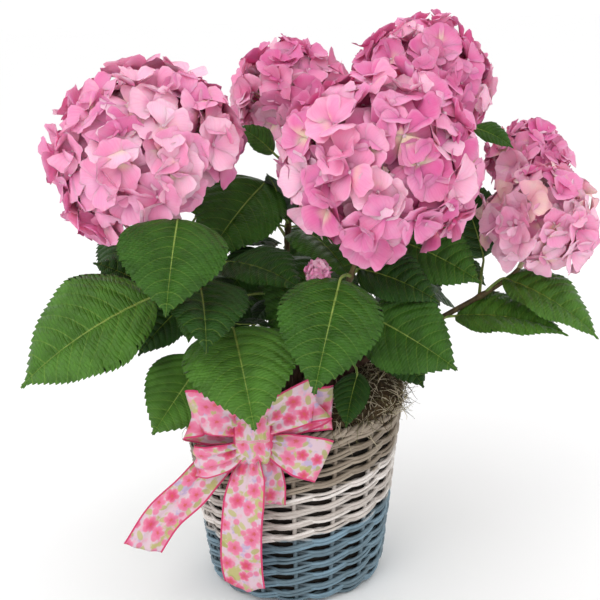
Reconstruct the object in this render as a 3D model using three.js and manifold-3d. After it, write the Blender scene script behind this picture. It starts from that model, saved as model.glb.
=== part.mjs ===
// A potted mophead hydrangea: eight canes, each with a leafy shoot and a dome of florets, rise from the
// potting mix of a dip-dyed wicker basket, with dry moss over the rim and a wired ribbon bow on its front.
// Millimetres, +Z up. The origin is the centre of the basket's flat underside and -Y is the front.
import * as THREE from 'three';
import { mergeVertices } from 'three/addons/utils/BufferGeometryUtils.js';
import Module from 'manifold-3d';

// ---------------------------------------------------------------- driving dimensions

const GAP = 0.3; // clearance between neighbouring solids
const SEED = 20;

const BASKET = {
  height: 166,
  rimRadius: 98,
  hipRadius: 80, // where the rounded lower edge ends
  hipHeight: 22,
  footRadius: 66,
  wall: 6,
  floor: 5,
  stakes: 16,
  rows: 26, // each is a pair of weavers
  relief: 2.1, // how far a weaver swings out and in round the stakes
  weaveDepth: 1.1, // the middle of that swing lies this far inside the basket's nominal face
  bottomSteps: 3,
};

const MIX_TOP = 150; // level of the potting mix

const MOSS = {
  innerRadius: 56,
  top: 176,
  moundTurn: -28, // degrees round from +X, where it spills over the rim
  moundRise: 15,
  overhang: 3.5, // past the rim's radius, at the mound
  lumps: 1.6,
  steps: 30,
};

const CANE = { footRadius: 4.6, tipRadius: 3.3, kneeHeight: 26, sides: 6, stepLength: 22 };
const SHOOT = { tipRadius: 2.3, sides: 5, stepLength: 20 };

const LEAF = {
  aspect: 0.76, // usual width over length
  thickness: 1.4,
  droop: 38, // degrees that the midrib turns down from base to tip
  fold: 9, // degrees that each half stands up from the midrib
  petioleRadius: 1.7,
  petioleSides: 3,
  petioleInBlade: 0.07, // share of the blade that the petiole runs under
  clearance: 0.7,
};
// stations along a blade and the half width there, as shares of the length and of half the width
const BLADE_STATIONS = [
  [0.0, 0.08],
  [0.12, 0.72],
  [0.38, 1.0],
  [0.72, 0.66],
  [1.0, 0.03],
];

const FLORET = {
  radius: 24,
  cup: 0.2,
  tilt: 13, // degrees of scatter
  spacing: 46, // mean distance between neighbours
  coreDepth: 0.4, // the core lies this share of a floret's radius under the dome
};
const DOME = {
  lowest: 122, // polar angle of the lowest florets
  flatness: 0.72, // depth of the underside over the radius, unless the stem's own row gives one
  coreRings: [28, 58, 88, 118, 150],
  coreSides: 9,
};

// One row per stem. foot: on the potting mix. fork: where the woody cane ends and the leafy shoot begins.
// head: where the shoot ends under its flower dome. centre, radius, lean and flatness: of the dome.
// leaves: [share of the shoot, blade base x, y, z, turn, pitch, length, roll, width over length], the turn
// being round from +X and the pitch up from the horizontal. pairs: [share of the shoot, turn] of opposite
// leaves whose turn, pitch, length and roll follow the seeded rule.
const STEMS = {
  left: {
    foot: [-16, -12], fork: [-52, -46, 234], head: [-92, -54, 326],
    centre: [-108, -50, 384], radius: 80, lean: [-0.5, -0.2], flatness: 0.62,
    leaves: [
      [0.38, -109, -68, 276, -165, -30, 130, 35, 0.76],
      [0.8, -81, -112, 348, -98, -50, 82, 10, 0.98],
      [0.3, -108, -26, 266, -176, 30, 64, 40, 0.76],
      [0.12, -86, -40, 262, -149, -39, 60, 36, 0.7],
      [0.03, -71, -68, 222, -154, -50, 76, 58, 0.8],
      [0.1, -44, -90, 255, -77, -37, 98, -8, 0.9],
      [0.62, -49, -45, 298, -35, -11, 79, -14, 0.76],
    ],
    pairs: [[0.55, 96]],
  },
  middle: {
    foot: [-3, 12], fork: [-4, 20, 236], head: [5, 66, 372],
    centre: [6, 75, 419], radius: 51, lean: [-0.1, -0.1],
    leaves: [
      [0.75, -17, 28, 352, -135, -38, 98, 28, 0.8],
      [0.55, -4, 24, 322, -116, 58, 50, 20, 0.76],
      [0.85, -10, 18, 378, 176, 38, 40, 38, 0.7],
      [0.35, -22, 2, 296, -143, -39, 54, 50, 0.7],
      [0.1, -40, -6, 258, -140, -34, 56, 50, 0.76],
    ],
    pairs: [[0.12, -168], [0.45, 120]],
  },
  front: {
    foot: [13, -24], fork: [30, -60, 232], head: [58, -76, 314],
    centre: [73, -75, 376], radius: 81, lean: [0.05, -0.5],
    leaves: [
      [0.72, 41, -104, 296, -112, -50, 98, 18, 0.8],
      [0.3, 62, -74, 259, -21, -28, 88, -50, 0.8],
      [0.7, 58, -60, 293, -21, -19, 72, -34, 0.7],
      [0.1, 54, -100, 218, -122, -62, 46, 12, 0.62],
    ],
    pairs: [],
  },
  top: {
    foot: [15, 6], fork: [46, 12, 234], head: [112, 54, 384],
    centre: [121, 60, 427], radius: 62, lean: [0.1, -0.05],
    leaves: [
      [0.4, 93, -25, 308, -21, -24, 79, -46, 0.76],
      [0.05, 84, -20, 224, -38, -48, 56, -40, 0.74],
      [0.85, 158, -5, 398, -13, -27, 38, -38, 0.6],
    ],
    pairs: [[0.3, 60]],
  },
  right: {
    foot: [34, -8], fork: [126, -15, 234], head: [198, -9, 278],
    centre: [212, -15, 317], radius: 49, lean: [0.2, -0.35], flatness: 0.85,
    leaves: [
      [0.04, 142, -18, 239, -18, -6, 98, -18, 0.62],
      [0.55, 184, -12, 270, -24, -29, 96, -20, 0.62],
      [0.5, 174, 32, 278, 146, 67, 83, 42, 0.72],
    ],
    pairs: [],
  },
  right_rear: {
    foot: [26, 22], fork: [104, 52, 238], head: [212, 82, 322],
    centre: [222, 85, 353], radius: 38, lean: [0.1, 0],
    leaves: [],
    pairs: [[0.55, 60]],
  },
  rear: {
    foot: [6, 30], fork: [44, 86, 232], head: [94, 140, 286],
    centre: [102, 150, 326], radius: 60, lean: [0.1, 0.25],
    leaves: [],
    pairs: [[0.05, 10], [0.45, 110], [0.85, 20]],
  },
  rear_left: {
    foot: [-20, 16], fork: [-56, 58, 234], head: [-108, 102, 312],
    centre: [-119, 110, 354], radius: 58, lean: [-0.2, 0.2],
    leaves: [],
    pairs: [[0.08, 50], [0.4, 140], [0.75, 60]],
  },
};

const LEAF_RULE = {
  petiole: 34,
  rise: 42, // degrees that a petiole rises above its blade
  turn: 14,
  pitch: [-34, -8],
  length: [84, 112],
  roll: 18,
  tries: 8, // each with more scatter than the last
  clearFrom: 0.3, // share of the petiole past which it keeps clear of its own shoot
};

const BUD = { at: 0.6, centre: [24, -100, 301], radius: 7.5, florets: 6, stalkRadius: 1.1 };

const RIBBON = { width: 38, thickness: 0.9, stepLength: 9, knotGap: 0.4 };
// The folded band over the pinch, close to the basket's rim. Each other piece starts inside it and is cut
// back clear of it. Its points are [x, y, z, share of the full width] from the middle of the band, and
// across is the way its width lies.
const BOW_KNOT = { centre: [-31, -103.2, 168], size: [34, 20, 48] };
const BOW = {
  loop_upper_left: {
    across: [0.12, -0.1, 1],
    points: [[-7, -2.5, 8, 0.45], [-25, -10.5, 20, 0.85], [-43, -8.5, 24, 1], [-51, -2.5, 21, 1],
      [-46, 4.5, 16, 1], [-27, 7.5, 11, 0.85], [-7, 3.5, 6, 0.45]],
  },
  loop_lower_left: {
    across: [-0.15, -0.15, 1],
    points: [[-7, -4, -8, 0.25], [-23, -8.5, -15, 0.6], [-40, -8.5, -19, 0.75], [-47, -4, -19, 0.75],
      [-39, 0.5, -19, 0.75], [-23, -1, -15, 0.6], [-7, 0, -8, 0.25]],
  },
  loop_upper_right: {
    across: [-0.1, -0.15, 1],
    points: [[9, -3.5, 8, 0.45], [27, -12.5, 24, 0.85], [43, -12.5, 31, 1], [51, -6.5, 32, 1],
      [45, -1.5, 29, 1], [27, -1, 21, 0.85], [9, 0, 8, 0.45]],
  },
  loop_rear_right: {
    across: [0.05, -0.1, 1],
    points: [[9, 3.5, 6, 0.4], [29, 3, 14, 0.8], [49, 2.5, 19, 1], [61, 3.5, 20, 1],
      [64, 5.5, 20, 1], [55, 7, 19, 1], [35, 7.5, 14, 0.8], [9, 6.5, 6, 0.4]],
  },
  tail_right: {
    across: [0.4, 0.05, 0.9],
    points: [[9, -1.5, -6, 0.3], [23, -3.5, -11, 0.7], [37, -2.5, -17, 0.95], [49, 0.5, -22, 1],
      [57, 3.5, -26, 1]],
  },
  tail_left: {
    across: [0.75, 0.05, -0.66],
    points: [[-5, 3, -12, 0.3], [-20, 5, -19, 0.55], [-36, 6.5, -31, 0.75], [-54, 5, -50, 0.8],
      [-76, 2, -70, 0.8], [-93, -2, -94, 0.8]],
  },
  tail_down: {
    across: [1, -0.25, 0],
    points: [[-2, -0.5, -15, 0.35], [-5, -3.5, -34, 0.75], [-9, -2.5, -56, 0.9], [-13, 1.5, -88, 0.92],
      [-14, 7.5, -118, 0.95], [-11, 13, -144, 0.9]],
  },
  tail_short: {
    across: [1, 0.1, 0.1],
    points: [[4, 2.5, -12, 0.35], [7, 4, -28, 0.75], [8.5, 5.5, -46, 0.85], [8, 7.5, -61, 0.85]],
  },
};

// ---------------------------------------------------------------- materials

const COLOURS = {
  wicker: ['#b9aea2', 0.8],
  mix: ['#3a2a1e', 1.0],
  moss: ['#7b6a47', 1.0],
  bark: ['#4b352a', 0.85],
  leaf: ['#2f5a24', 0.5],
  sepal: ['#e98bb4', 0.6],
  ribbon: ['#ec8fb2', 0.55],
};
const materialOf = (slot) => new THREE.MeshStandardMaterial({
  color: COLOURS[slot][0],
  roughness: COLOURS[slot][1],
  metalness: 0,
});

// ---------------------------------------------------------------- helpers

const wasm = await Module();
wasm.setup();
const { Manifold } = wasm;
const V = (x, y, z) => new THREE.Vector3(x, y, z);
const rad = THREE.MathUtils.degToRad;
const lerp = THREE.MathUtils.lerp;
const UP = V(0, 0, 1);

function randomFrom(seed) {
  let state = seed >>> 0;
  return () => {
    state = (state + 0x6d2b79f5) >>> 0;
    let mixed = Math.imul(state ^ (state >>> 15), state | 1);
    mixed ^= mixed + Math.imul(mixed ^ (mixed >>> 7), mixed | 61);
    return ((mixed ^ (mixed >>> 14)) >>> 0) / 4294967296;
  };
}

function direction(turn, pitch) {
  const level = Math.cos(rad(pitch));
  return V(level * Math.cos(rad(turn)), level * Math.sin(rad(turn)), Math.sin(rad(pitch)));
}

function centroid(ring) {
  const middle = V(0, 0, 0);
  ring.forEach((point) => middle.add(point));
  return middle.divideScalar(ring.length);
}

// A closed skin through rings of equally many points: capped by a fan at each end, or joined last to first.
function skin(rings, { start, end, loop = false } = {}) {
  const count = rings[0].length;
  const points = rings.flat();
  const faces = [];
  const spans = loop ? rings.length : rings.length - 1;
  for (let i = 0; i < spans; i += 1) {
    for (let j = 0; j < count; j += 1) {
      const next = (j + 1) % count;
      const a = i * count;
      const b = ((i + 1) % rings.length) * count;
      faces.push([a + j, a + next, b + next], [a + j, b + next, b + j]);
    }
  }
  if (!loop) {
    const last = (rings.length - 1) * count;
    points.push(start ?? centroid(rings[0]), end ?? centroid(rings.at(-1)));
    for (let j = 0; j < count; j += 1) {
      const next = (j + 1) % count;
      faces.push([points.length - 2, next, j], [points.length - 1, last + j, last + next]);
    }
  }
  return solidFrom(points, faces);
}

function solidFrom(points, faces) {
  let volume = 0;
  faces.forEach(([a, b, c]) => {
    volume += points[a].dot(V(0, 0, 0).crossVectors(points[b], points[c]));
  });
  const outward = volume > 0 ? faces : faces.map(([a, b, c]) => [a, c, b]);
  const geometry = new THREE.BufferGeometry().setFromPoints(points);
  geometry.setIndex(outward.flat());
  return solidOf(geometry);
}

function solidOf(geometry) {
  geometry.deleteAttribute('normal');
  geometry.deleteAttribute('uv');
  const merged = mergeVertices(geometry, 1e-4);
  return new Manifold(new wasm.Mesh({
    numProp: 3,
    vertProperties: new Float32Array(merged.attributes.position.array),
    triVerts: new Uint32Array(merged.index.array),
  }));
}

function geometryOf(solid) {
  const { vertProperties, triVerts } = solid.getMesh();
  const geometry = new THREE.BufferGeometry();
  geometry.setAttribute('position', new THREE.BufferAttribute(new Float32Array(vertProperties), 3));
  geometry.setIndex(new THREE.BufferAttribute(new Uint32Array(triVerts), 1));
  geometry.computeVertexNormals();
  return geometry;
}

const group = new THREE.Group();
const placed = []; // every solid so far, with the name of its node

function boxesMeet(a, b) {
  const one = a.boundingBox();
  const two = b.boundingBox();
  return [0, 1, 2].every((k) => one.min[k] <= two.max[k] && two.min[k] <= one.max[k]);
}

function hitBy(solid, except = []) {
  return placed.find(({ name, solid: other }) => !except.includes(name)
    && boxesMeet(solid, other) && !solid.intersect(other).isEmpty());
}

function keep(name, solid) {
  placed.push({ name, solid });
}

function show(name, slot, solid) {
  const mesh = new THREE.Mesh(geometryOf(solid), materialOf(slot));
  mesh.name = name;
  group.add(mesh);
}

function keepAndShow(name, slot, solid) {
  keep(name, solid);
  show(name, slot, solid);
}

// ---------------------------------------------------------------- basket, potting mix and moss

function basketRadius(z) {
  const { hipHeight, hipRadius, footRadius, rimRadius, height } = BASKET;
  if (z < hipHeight) {
    return footRadius + (hipRadius - footRadius) * Math.sqrt(1 - (1 - z / hipHeight) ** 2);
  }
  return lerp(hipRadius, rimRadius, (z - hipHeight) / (height - hipHeight));
}

const COLUMNS = BASKET.stakes * 2;

function hoop(radiusAt, z) {
  return Array.from({ length: COLUMNS }, (_, k) => {
    const turn = (k / COLUMNS) * Math.PI * 2;
    const radius = radiusAt(turn);
    return V(radius * Math.cos(turn), radius * Math.sin(turn), z);
  });
}

// Outside, each row of weavers swings out past every second stake and the next row past the others; inside,
// the wall is plain.
function basket() {
  const { height, hipHeight, stakes, rows, relief, weaveDepth, wall, floor, bottomSteps } = BASKET;
  const rings = [];
  for (let step = 0; step < bottomSteps; step += 1) {
    const z = hipHeight * (1 - Math.cos((step / bottomSteps) * Math.PI / 2));
    rings.push(hoop(() => basketRadius(z), z));
  }
  const rowHeight = (height - hipHeight) / rows;
  for (let row = 0; row < rows; row += 1) {
    const sign = row % 2 ? -1 : 1;
    const z = hipHeight + (row + 0.5) * rowHeight;
    const swing = (turn) => sign * relief * Math.cos(turn * stakes / 2) - weaveDepth;
    rings.push(hoop((turn) => basketRadius(z) + swing(turn), z));
  }
  const inner = (z) => basketRadius(z) - wall;
  rings.push(hoop(() => basketRadius(height) - weaveDepth, height));
  rings.push(hoop(() => inner(height) + weaveDepth, height));
  rings.push(hoop(() => inner(height - 3), height - 3));
  rings.push(hoop(() => inner(hipHeight), hipHeight));
  rings.push(hoop(() => inner(floor * 2), floor * 2));
  rings.push(hoop(() => inner(floor), floor));
  return skin(rings);
}

function pottingMix() {
  const bottom = BASKET.floor + GAP;
  const levels = [bottom, BASKET.hipHeight, MIX_TOP];
  return skin(levels.map((z) => hoop(() => basketRadius(z) - BASKET.wall - GAP * 2, z)));
}

// A ring that fills the basket from the potting mix to just over its rim, mounded up and out at one side.
function moss() {
  const random = randomFrom(SEED);
  const inWall = basketRadius(MIX_TOP) - BASKET.wall - GAP * 3;
  const bottom = MIX_TOP + GAP;
  const overRim = BASKET.height + GAP * 2;
  const rings = Array.from({ length: MOSS.steps }, (_, k) => {
    const turn = (k / MOSS.steps) * 360;
    const away = Math.abs(((turn - MOSS.moundTurn + 540) % 360) - 180);
    const mound = Math.max(0, 1 - away / 62) ** 0.8;
    const lump = () => MOSS.lumps * (random() * 2 - 1);
    const top = MOSS.top + MOSS.moundRise * mound + lump();
    const reach = lerp(BASKET.rimRadius - 6, BASKET.rimRadius + MOSS.overhang, mound) + lump();
    const section = [
      [MOSS.innerRadius + lump(), bottom],
      [inWall, bottom],
      [inWall, overRim],
      [reach - 1, overRim + 0.4],
      [reach, lerp(overRim, top, 0.5)],
      [inWall - 6, top],
      [MOSS.innerRadius + 12, lerp(overRim, top, 0.6)],
    ];
    return section.map(([radius, z]) => V(radius * Math.cos(rad(turn)), radius * Math.sin(rad(turn)), z));
  });
  return skin(rings, { loop: true });
}

// ---------------------------------------------------------------- limbs, leaves and flower domes

// A tapering limb along a stretch of a curve, with flat ends square to it.
function limb(curve, from, to, fromRadius, toRadius, sides, steps) {
  const chord = curve.getPointAt(to).sub(curve.getPointAt(from)).normalize();
  const reference = Math.abs(chord.z) > 0.75 ? V(1, 0, 0) : UP;
  const rings = Array.from({ length: steps + 1 }, (_, i) => {
    const share = i / steps;
    const at = lerp(from, to, share);
    const tangent = curve.getTangentAt(at);
    const side = V(0, 0, 0).crossVectors(tangent, reference).normalize();
    const other = V(0, 0, 0).crossVectors(side, tangent);
    const radius = lerp(fromRadius, toRadius, share);
    const middle = curve.getPointAt(at);
    return Array.from({ length: sides }, (_, j) => {
      const turn = (j / sides) * Math.PI * 2;
      return middle.clone().addScaledVector(side, radius * Math.cos(turn))
        .addScaledVector(other, radius * Math.sin(turn));
    });
  });
  return skin(rings);
}

// The whole run of a stem, from the potting mix to the heart of its dome, and where its parts meet.
function spineOf(stem) {
  const foot = V(...stem.foot, MIX_TOP + GAP);
  const knee = foot.clone().add(V(0, 0, CANE.kneeHeight));
  const curve = new THREE.CatmullRomCurve3([foot, knee, V(...stem.fork), V(...stem.head), V(...stem.centre)],
    false, 'centripetal');
  const lengths = curve.getLengths(400);
  const total = lengths.at(-1);
  const shareAt = (knot) => lengths[knot * 100] / total;
  return { curve, total, fork: shareAt(2), head: shareAt(3), gap: GAP / total };
}

const stepsFor = (length, step) => Math.max(2, Math.round(length / step));

function caneOf({ curve, total, fork }) {
  const steps = stepsFor(total * fork, CANE.stepLength);
  return limb(curve, 0, fork, CANE.footRadius, CANE.tipRadius, CANE.sides, steps);
}

function shootOf({ curve, total, fork, head, gap }) {
  const steps = stepsFor(total * (head - fork), SHOOT.stepLength);
  return limb(curve, fork + gap, head, CANE.tipRadius, SHOOT.tipRadius, SHOOT.sides, steps);
}

// The frame of a leaf: along its midrib, to its right and out of its upper face.
function leafFrame({ turn, pitch, roll }) {
  const along = direction(turn, pitch);
  const level = V(0, 0, 0).crossVectors(along, UP).normalize();
  const raised = V(0, 0, 0).crossVectors(level, along);
  const [across, out] = [Math.cos(rad(roll)), Math.sin(rad(roll))];
  const side = level.clone().multiplyScalar(across).addScaledVector(raised, out);
  const face = raised.clone().multiplyScalar(across).addScaledVector(level, -out);
  return { along, side, face };
}

// Points of the midrib, which arches over its chord.
function midribPoint(leaf, frame, share) {
  const pieces = 12;
  const point = V(...leaf.base);
  for (let i = 0; i < pieces; i += 1) {
    const angle = rad(LEAF.droop * (0.5 - ((i + 0.5) / pieces) * share));
    const step = (leaf.length * share) / pieces;
    point.addScaledVector(frame.along, step * Math.cos(angle));
    point.addScaledVector(frame.face, step * Math.sin(angle));
  }
  return point;
}

function bladeOf(leaf, extra = 0) {
  const frame = leafFrame(leaf);
  const half = (leaf.length * leaf.aspect) / 2;
  const lift = Math.sin(rad(LEAF.fold));
  const thick = (LEAF.thickness + extra) / 2;
  return skin(BLADE_STATIONS.map(([share, widthShare]) => {
    const middle = midribPoint(leaf, frame, share);
    const width = half * widthShare + extra / 2;
    const edge = (sign) => middle.clone().addScaledVector(frame.side, sign * width)
      .addScaledVector(frame.face, width * lift);
    const row = [edge(-1), middle, edge(1)];
    const top = row.map((point) => point.clone().addScaledVector(frame.face, thick));
    const under = row.map((point) => point.clone().addScaledVector(frame.face, -thick));
    return [...top, ...under.reverse()];
  }));
}

function petioleOf(leaf, shootPoint, extra = 0) {
  const frame = leafFrame(leaf);
  const base = V(...leaf.base);
  const inBlade = midribPoint(leaf, frame, LEAF.petioleInBlade);
  const middle = shootPoint.clone().lerp(base, 0.5).add(V(0, 0, shootPoint.distanceTo(base) * 0.06));
  const curve = new THREE.CatmullRomCurve3([shootPoint, middle, base, inBlade], false, 'centripetal');
  const radius = LEAF.petioleRadius + extra / 2;
  return limb(curve, 0, 1, radius, radius * 0.6, LEAF.petioleSides, 3);
}

// The placed leaves of one stem.
function placedLeaves(stem, onShoot) {
  return stem.leaves.map(([share, x, y, z, turn, pitch, length, roll, aspect]) => (
    { root: onShoot(share), base: [x, y, z], turn, pitch, length, roll, aspect }));
}

// One leaf of an opposite pair, by the seeded rule.
function ruledLeaf(root, pairTurn, random, attempt) {
  const spread = ([low, high]) => lerp(low, high, random());
  const scatter = (range) => range * (random() * 2 - 1) * (1 + attempt * 0.4);
  const turn = pairTurn + scatter(LEAF_RULE.turn);
  const pitch = spread(LEAF_RULE.pitch) + scatter(attempt * 4);
  const base = root.clone().addScaledVector(direction(turn, pitch + LEAF_RULE.rise), LEAF_RULE.petiole);
  const length = spread(LEAF_RULE.length);
  const roll = scatter(LEAF_RULE.roll);
  return { root, base: base.toArray(), turn, pitch, length, roll, aspect: LEAF.aspect };
}

// Whether a leaf and its petiole keep clear of every other solid, but for the nodes named in except.
function clears(leaf, except = []) {
  return !hitBy(bladeOf(leaf, LEAF.clearance), except)
    && !hitBy(petioleOf(leaf, leaf.root, LEAF.clearance), except);
}

function addLeaf(name, leaf) {
  keep(name, bladeOf(leaf).add(petioleOf(leaf, leaf.root)));
}

// One floret: a shallow cup with a corner for each of its four sepals, on a root that tapers inwards.
function floretOf(at, outward, size, spin, root) {
  const side = V(0, 0, 0).crossVectors(outward, Math.abs(outward.z) > 0.9 ? V(1, 0, 0) : UP).normalize();
  const other = V(0, 0, 0).crossVectors(side, outward);
  const rim = Array.from({ length: 4 }, (_, j) => {
    const turn = spin + (j * Math.PI) / 2;
    return at.clone().addScaledVector(side, size * Math.cos(turn))
      .addScaledVector(other, size * Math.sin(turn));
  });
  const heart = at.clone().addScaledVector(outward, -FLORET.cup * size);
  return skin([rim], { start: root, end: heart });
}

// The dome's own frame and its surface, flattened below.
function domeOf({ centre, radius, lean, flatness = DOME.flatness }) {
  const axis = V(...lean, 1).normalize();
  const side = V(0, 0, 0).crossVectors(V(0, 1, 0), axis).normalize();
  const other = V(0, 0, 0).crossVectors(axis, side);
  const middle = V(...centre);
  const spread = (polar, turn) => {
    const flat = Math.cos(polar) < 0 ? flatness : 1;
    return V(0, 0, 0).addScaledVector(axis, Math.cos(polar) * flat)
      .addScaledVector(side, Math.sin(polar) * Math.cos(turn))
      .addScaledVector(other, Math.sin(polar) * Math.sin(turn));
  };
  return { middle, radius, spread };
}

function coreOf(dome, depth) {
  const rings = DOME.coreRings.map((polar) => Array.from({ length: DOME.coreSides }, (_, k) => {
    const turn = (k / DOME.coreSides) * Math.PI * 2;
    return dome.middle.clone().addScaledVector(dome.spread(rad(polar), turn), dome.radius - depth);
  }));
  const pole = (polar) => dome.middle.clone().addScaledVector(dome.spread(polar, 0), dome.radius - depth);
  return skin(rings, { start: pole(0), end: pole(Math.PI) });
}

function bloomOf(stem, spine, random) {
  const dome = domeOf(stem);
  const size = FLORET.radius * lerp(0.8, 1, Math.min(1, (stem.radius - 38) / 44));
  const depth = size * FLORET.coreDepth;
  const core = coreOf(dome, depth);
  const { curve, total, head, gap } = spine;
  const stalk = limb(curve, head + gap, 1, SHOOT.tipRadius, SHOOT.tipRadius, SHOOT.sides,
    stepsFor(total * (1 - head), SHOOT.stepLength));
  const lowest = Math.cos(rad(DOME.lowest));
  const area = 2 * Math.PI * (1 - lowest) * dome.radius ** 2;
  const count = Math.round(area / FLORET.spacing ** 2 / (size / FLORET.radius) ** 2);
  const florets = [];
  for (let i = 0; i < count; i += 1) {
    const polar = Math.acos(lerp(1, lowest, (i + 0.5) / count));
    const turn = i * 2.39996 + (random() - 0.5) * 0.5;
    const direct = dome.spread(polar, turn);
    const reach = dome.radius * lerp(0.94, 1, random());
    const at = dome.middle.clone().addScaledVector(direct, reach);
    const outward = direct.clone().normalize();
    const tiltAxis = V(random() - 0.5, random() - 0.5, random() - 0.5).normalize();
    outward.applyAxisAngle(tiltAxis, rad(FLORET.tilt) * (random() * 2 - 1));
    const root = dome.middle.clone().addScaledVector(direct, dome.radius - depth - size * 0.35);
    const floret = floretOf(at, outward, size * lerp(0.92, 1.04, random()), random() * Math.PI, root);
    if (!hitBy(floret)) {
      florets.push(floret);
    }
  }
  return Manifold.union([core, stalk, ...florets]);
}

function budCluster(spine) {
  const start = spine.curve.getPointAt(lerp(spine.fork, spine.head, BUD.at));
  const centre = V(...BUD.centre);
  const outward = centre.clone().sub(start);
  const clear = (CANE.tipRadius + GAP) / outward.length();
  const curve = new THREE.LineCurve3(start.clone().lerp(centre, clear), centre);
  const stalk = limb(curve, 0, 1, BUD.stalkRadius, BUD.stalkRadius, 4, 1);
  const florets = Array.from({ length: BUD.florets }, (_, k) => {
    const facing = direction((k / BUD.florets) * 360, k % 2 ? 35 : -20);
    const at = centre.clone().addScaledVector(facing, BUD.radius * 0.7);
    return floretOf(at, facing, BUD.radius * 0.8, k, centre.clone().addScaledVector(facing, -1));
  });
  return Manifold.union([stalk, ...florets]);
}

// ---------------------------------------------------------------- ribbon bow

function ribbonOf({ points, across }) {
  const knots = points.map(([x, y, z]) => V(x, y, z).add(V(...BOW_KNOT.centre)));
  const curve = new THREE.CatmullRomCurve3(knots, false, 'centripetal');
  const steps = stepsFor(curve.getLength(), RIBBON.stepLength);
  const wide = V(...across).normalize();
  const rings = Array.from({ length: steps + 1 }, (_, i) => {
    const share = i / steps;
    const knot = curve.getUtoTmapping(share) * (points.length - 1);
    const low = Math.min(Math.floor(knot), points.length - 2);
    const half = (RIBBON.width / 2) * lerp(points[low][3], points[low + 1][3], knot - low);
    const tangent = curve.getTangentAt(share);
    const level = wide.clone().addScaledVector(tangent, -wide.dot(tangent)).normalize();
    const out = V(0, 0, 0).crossVectors(level, tangent).multiplyScalar(RIBBON.thickness / 2);
    const middle = curve.getPointAt(share);
    return [[-1, -1], [1, -1], [1, 1], [-1, 1]].map(([side, face]) => (
      middle.clone().addScaledVector(level, side * half).addScaledVector(out, face)));
  });
  return skin(rings);
}

function bowKnot(gap = 0) {
  const { centre, size } = BOW_KNOT;
  const geometry = new THREE.SphereGeometry(0.5, 10, 8);
  geometry.rotateX(Math.PI / 2);
  geometry.scale(...size.map((span) => span + 2 * gap));
  geometry.translate(...centre);
  return solidOf(geometry);
}

// ---------------------------------------------------------------- the whole plant

keepAndShow('basket_wall', 'wicker', basket());
keepAndShow('potting_mix', 'mix', pottingMix());
keepAndShow('moss_ring', 'moss', moss());

keepAndShow('bow_knot', 'ribbon', bowKnot());
const knotSpace = bowKnot(RIBBON.knotGap);
for (const [name, piece] of Object.entries(BOW)) {
  keepAndShow(`bow_${name}`, 'ribbon', ribbonOf(piece).subtract(knotSpace));
}

const plants = Object.entries(STEMS).map(([name, stem], index) => (
  { name, stem, spine: spineOf(stem), random: randomFrom(SEED + index) }));

for (const { name, spine } of plants) {
  keepAndShow(`cane_${name}`, 'bark', caneOf(spine));
  keep(`leaves_${name}`, shootOf(spine));
}
for (const { name, stem, spine, random } of plants) {
  keepAndShow(`bloom_${name}`, 'sepal', bloomOf(stem, spine, random));
}
keepAndShow('bud_cluster', 'sepal', budCluster(plants.find(({ name }) => name === 'front').spine));

for (const { name, stem, spine } of plants) {
  const onShoot = (share) => spine.curve.getPointAt(lerp(spine.fork, spine.head, share));
  for (const leaf of placedLeaves(stem, onShoot)) {
    if (clears(leaf, [`leaves_${name}`])) {
      addLeaf(`leaves_${name}`, leaf);
    }
  }
}
// A leaf of the seeded rule touches none of its own mass either, but for the shoot it grows from.
for (const { name, stem, spine, random } of plants) {
  for (const [share, firstTurn] of stem.pairs) {
    const root = spine.curve.getPointAt(lerp(spine.fork, spine.head, share));
    for (const pairTurn of [firstTurn, firstTurn + 180]) {
      for (let attempt = 0; attempt < LEAF_RULE.tries; attempt += 1) {
        const leaf = ruledLeaf(root, pairTurn, random, attempt);
        if (clears({ ...leaf, root: root.clone().lerp(V(...leaf.base), LEAF_RULE.clearFrom) })) {
          addLeaf(`leaves_${name}`, leaf);
          break;
        }
      }
    }
  }
}
for (const { name } of plants) {
  const pieces = placed.filter((one) => one.name === `leaves_${name}`).map((one) => one.solid);
  show(`leaves_${name}`, 'leaf', Manifold.union(pieces));
}

export default group;
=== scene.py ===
"""A mophead hydrangea in a woven basket, with moss over the rim and a ribbon bow, dressed around its packed model.

Lengths are millimetres up to the making of each mesh, which is in metres. +Z is up and -Y is the front.
"""

import math

import bmesh
import bpy
import numpy as np
from bpy.props import FloatProperty, FloatVectorProperty, IntProperty, PointerProperty
from mathutils import Matrix, Quaternion, Vector, noise
from mathutils.bvhtree import BVHTree


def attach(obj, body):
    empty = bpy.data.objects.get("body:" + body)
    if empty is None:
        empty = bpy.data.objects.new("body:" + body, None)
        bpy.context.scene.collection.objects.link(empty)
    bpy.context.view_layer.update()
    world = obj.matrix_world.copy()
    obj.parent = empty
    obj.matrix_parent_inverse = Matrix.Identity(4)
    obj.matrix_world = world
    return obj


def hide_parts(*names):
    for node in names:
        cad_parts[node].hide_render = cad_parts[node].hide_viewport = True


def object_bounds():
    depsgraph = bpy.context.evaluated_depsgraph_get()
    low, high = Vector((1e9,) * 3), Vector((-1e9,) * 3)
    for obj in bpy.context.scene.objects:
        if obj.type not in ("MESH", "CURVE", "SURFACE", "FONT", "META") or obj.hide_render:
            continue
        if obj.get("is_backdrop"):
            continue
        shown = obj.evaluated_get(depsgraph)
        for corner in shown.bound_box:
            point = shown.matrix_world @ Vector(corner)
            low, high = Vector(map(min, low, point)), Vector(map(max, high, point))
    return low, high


bl_info = {
    "name": "Basket Hydrangea",
    "version": (1, 0, 0),
    "blender": (4, 5, 0),
    "location": "3D View > Sidebar > Hydrangea",
    "description": "Makes a potted mophead hydrangea with its basket, moss and ribbon bow",
    "category": "Add Mesh",
}

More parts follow.
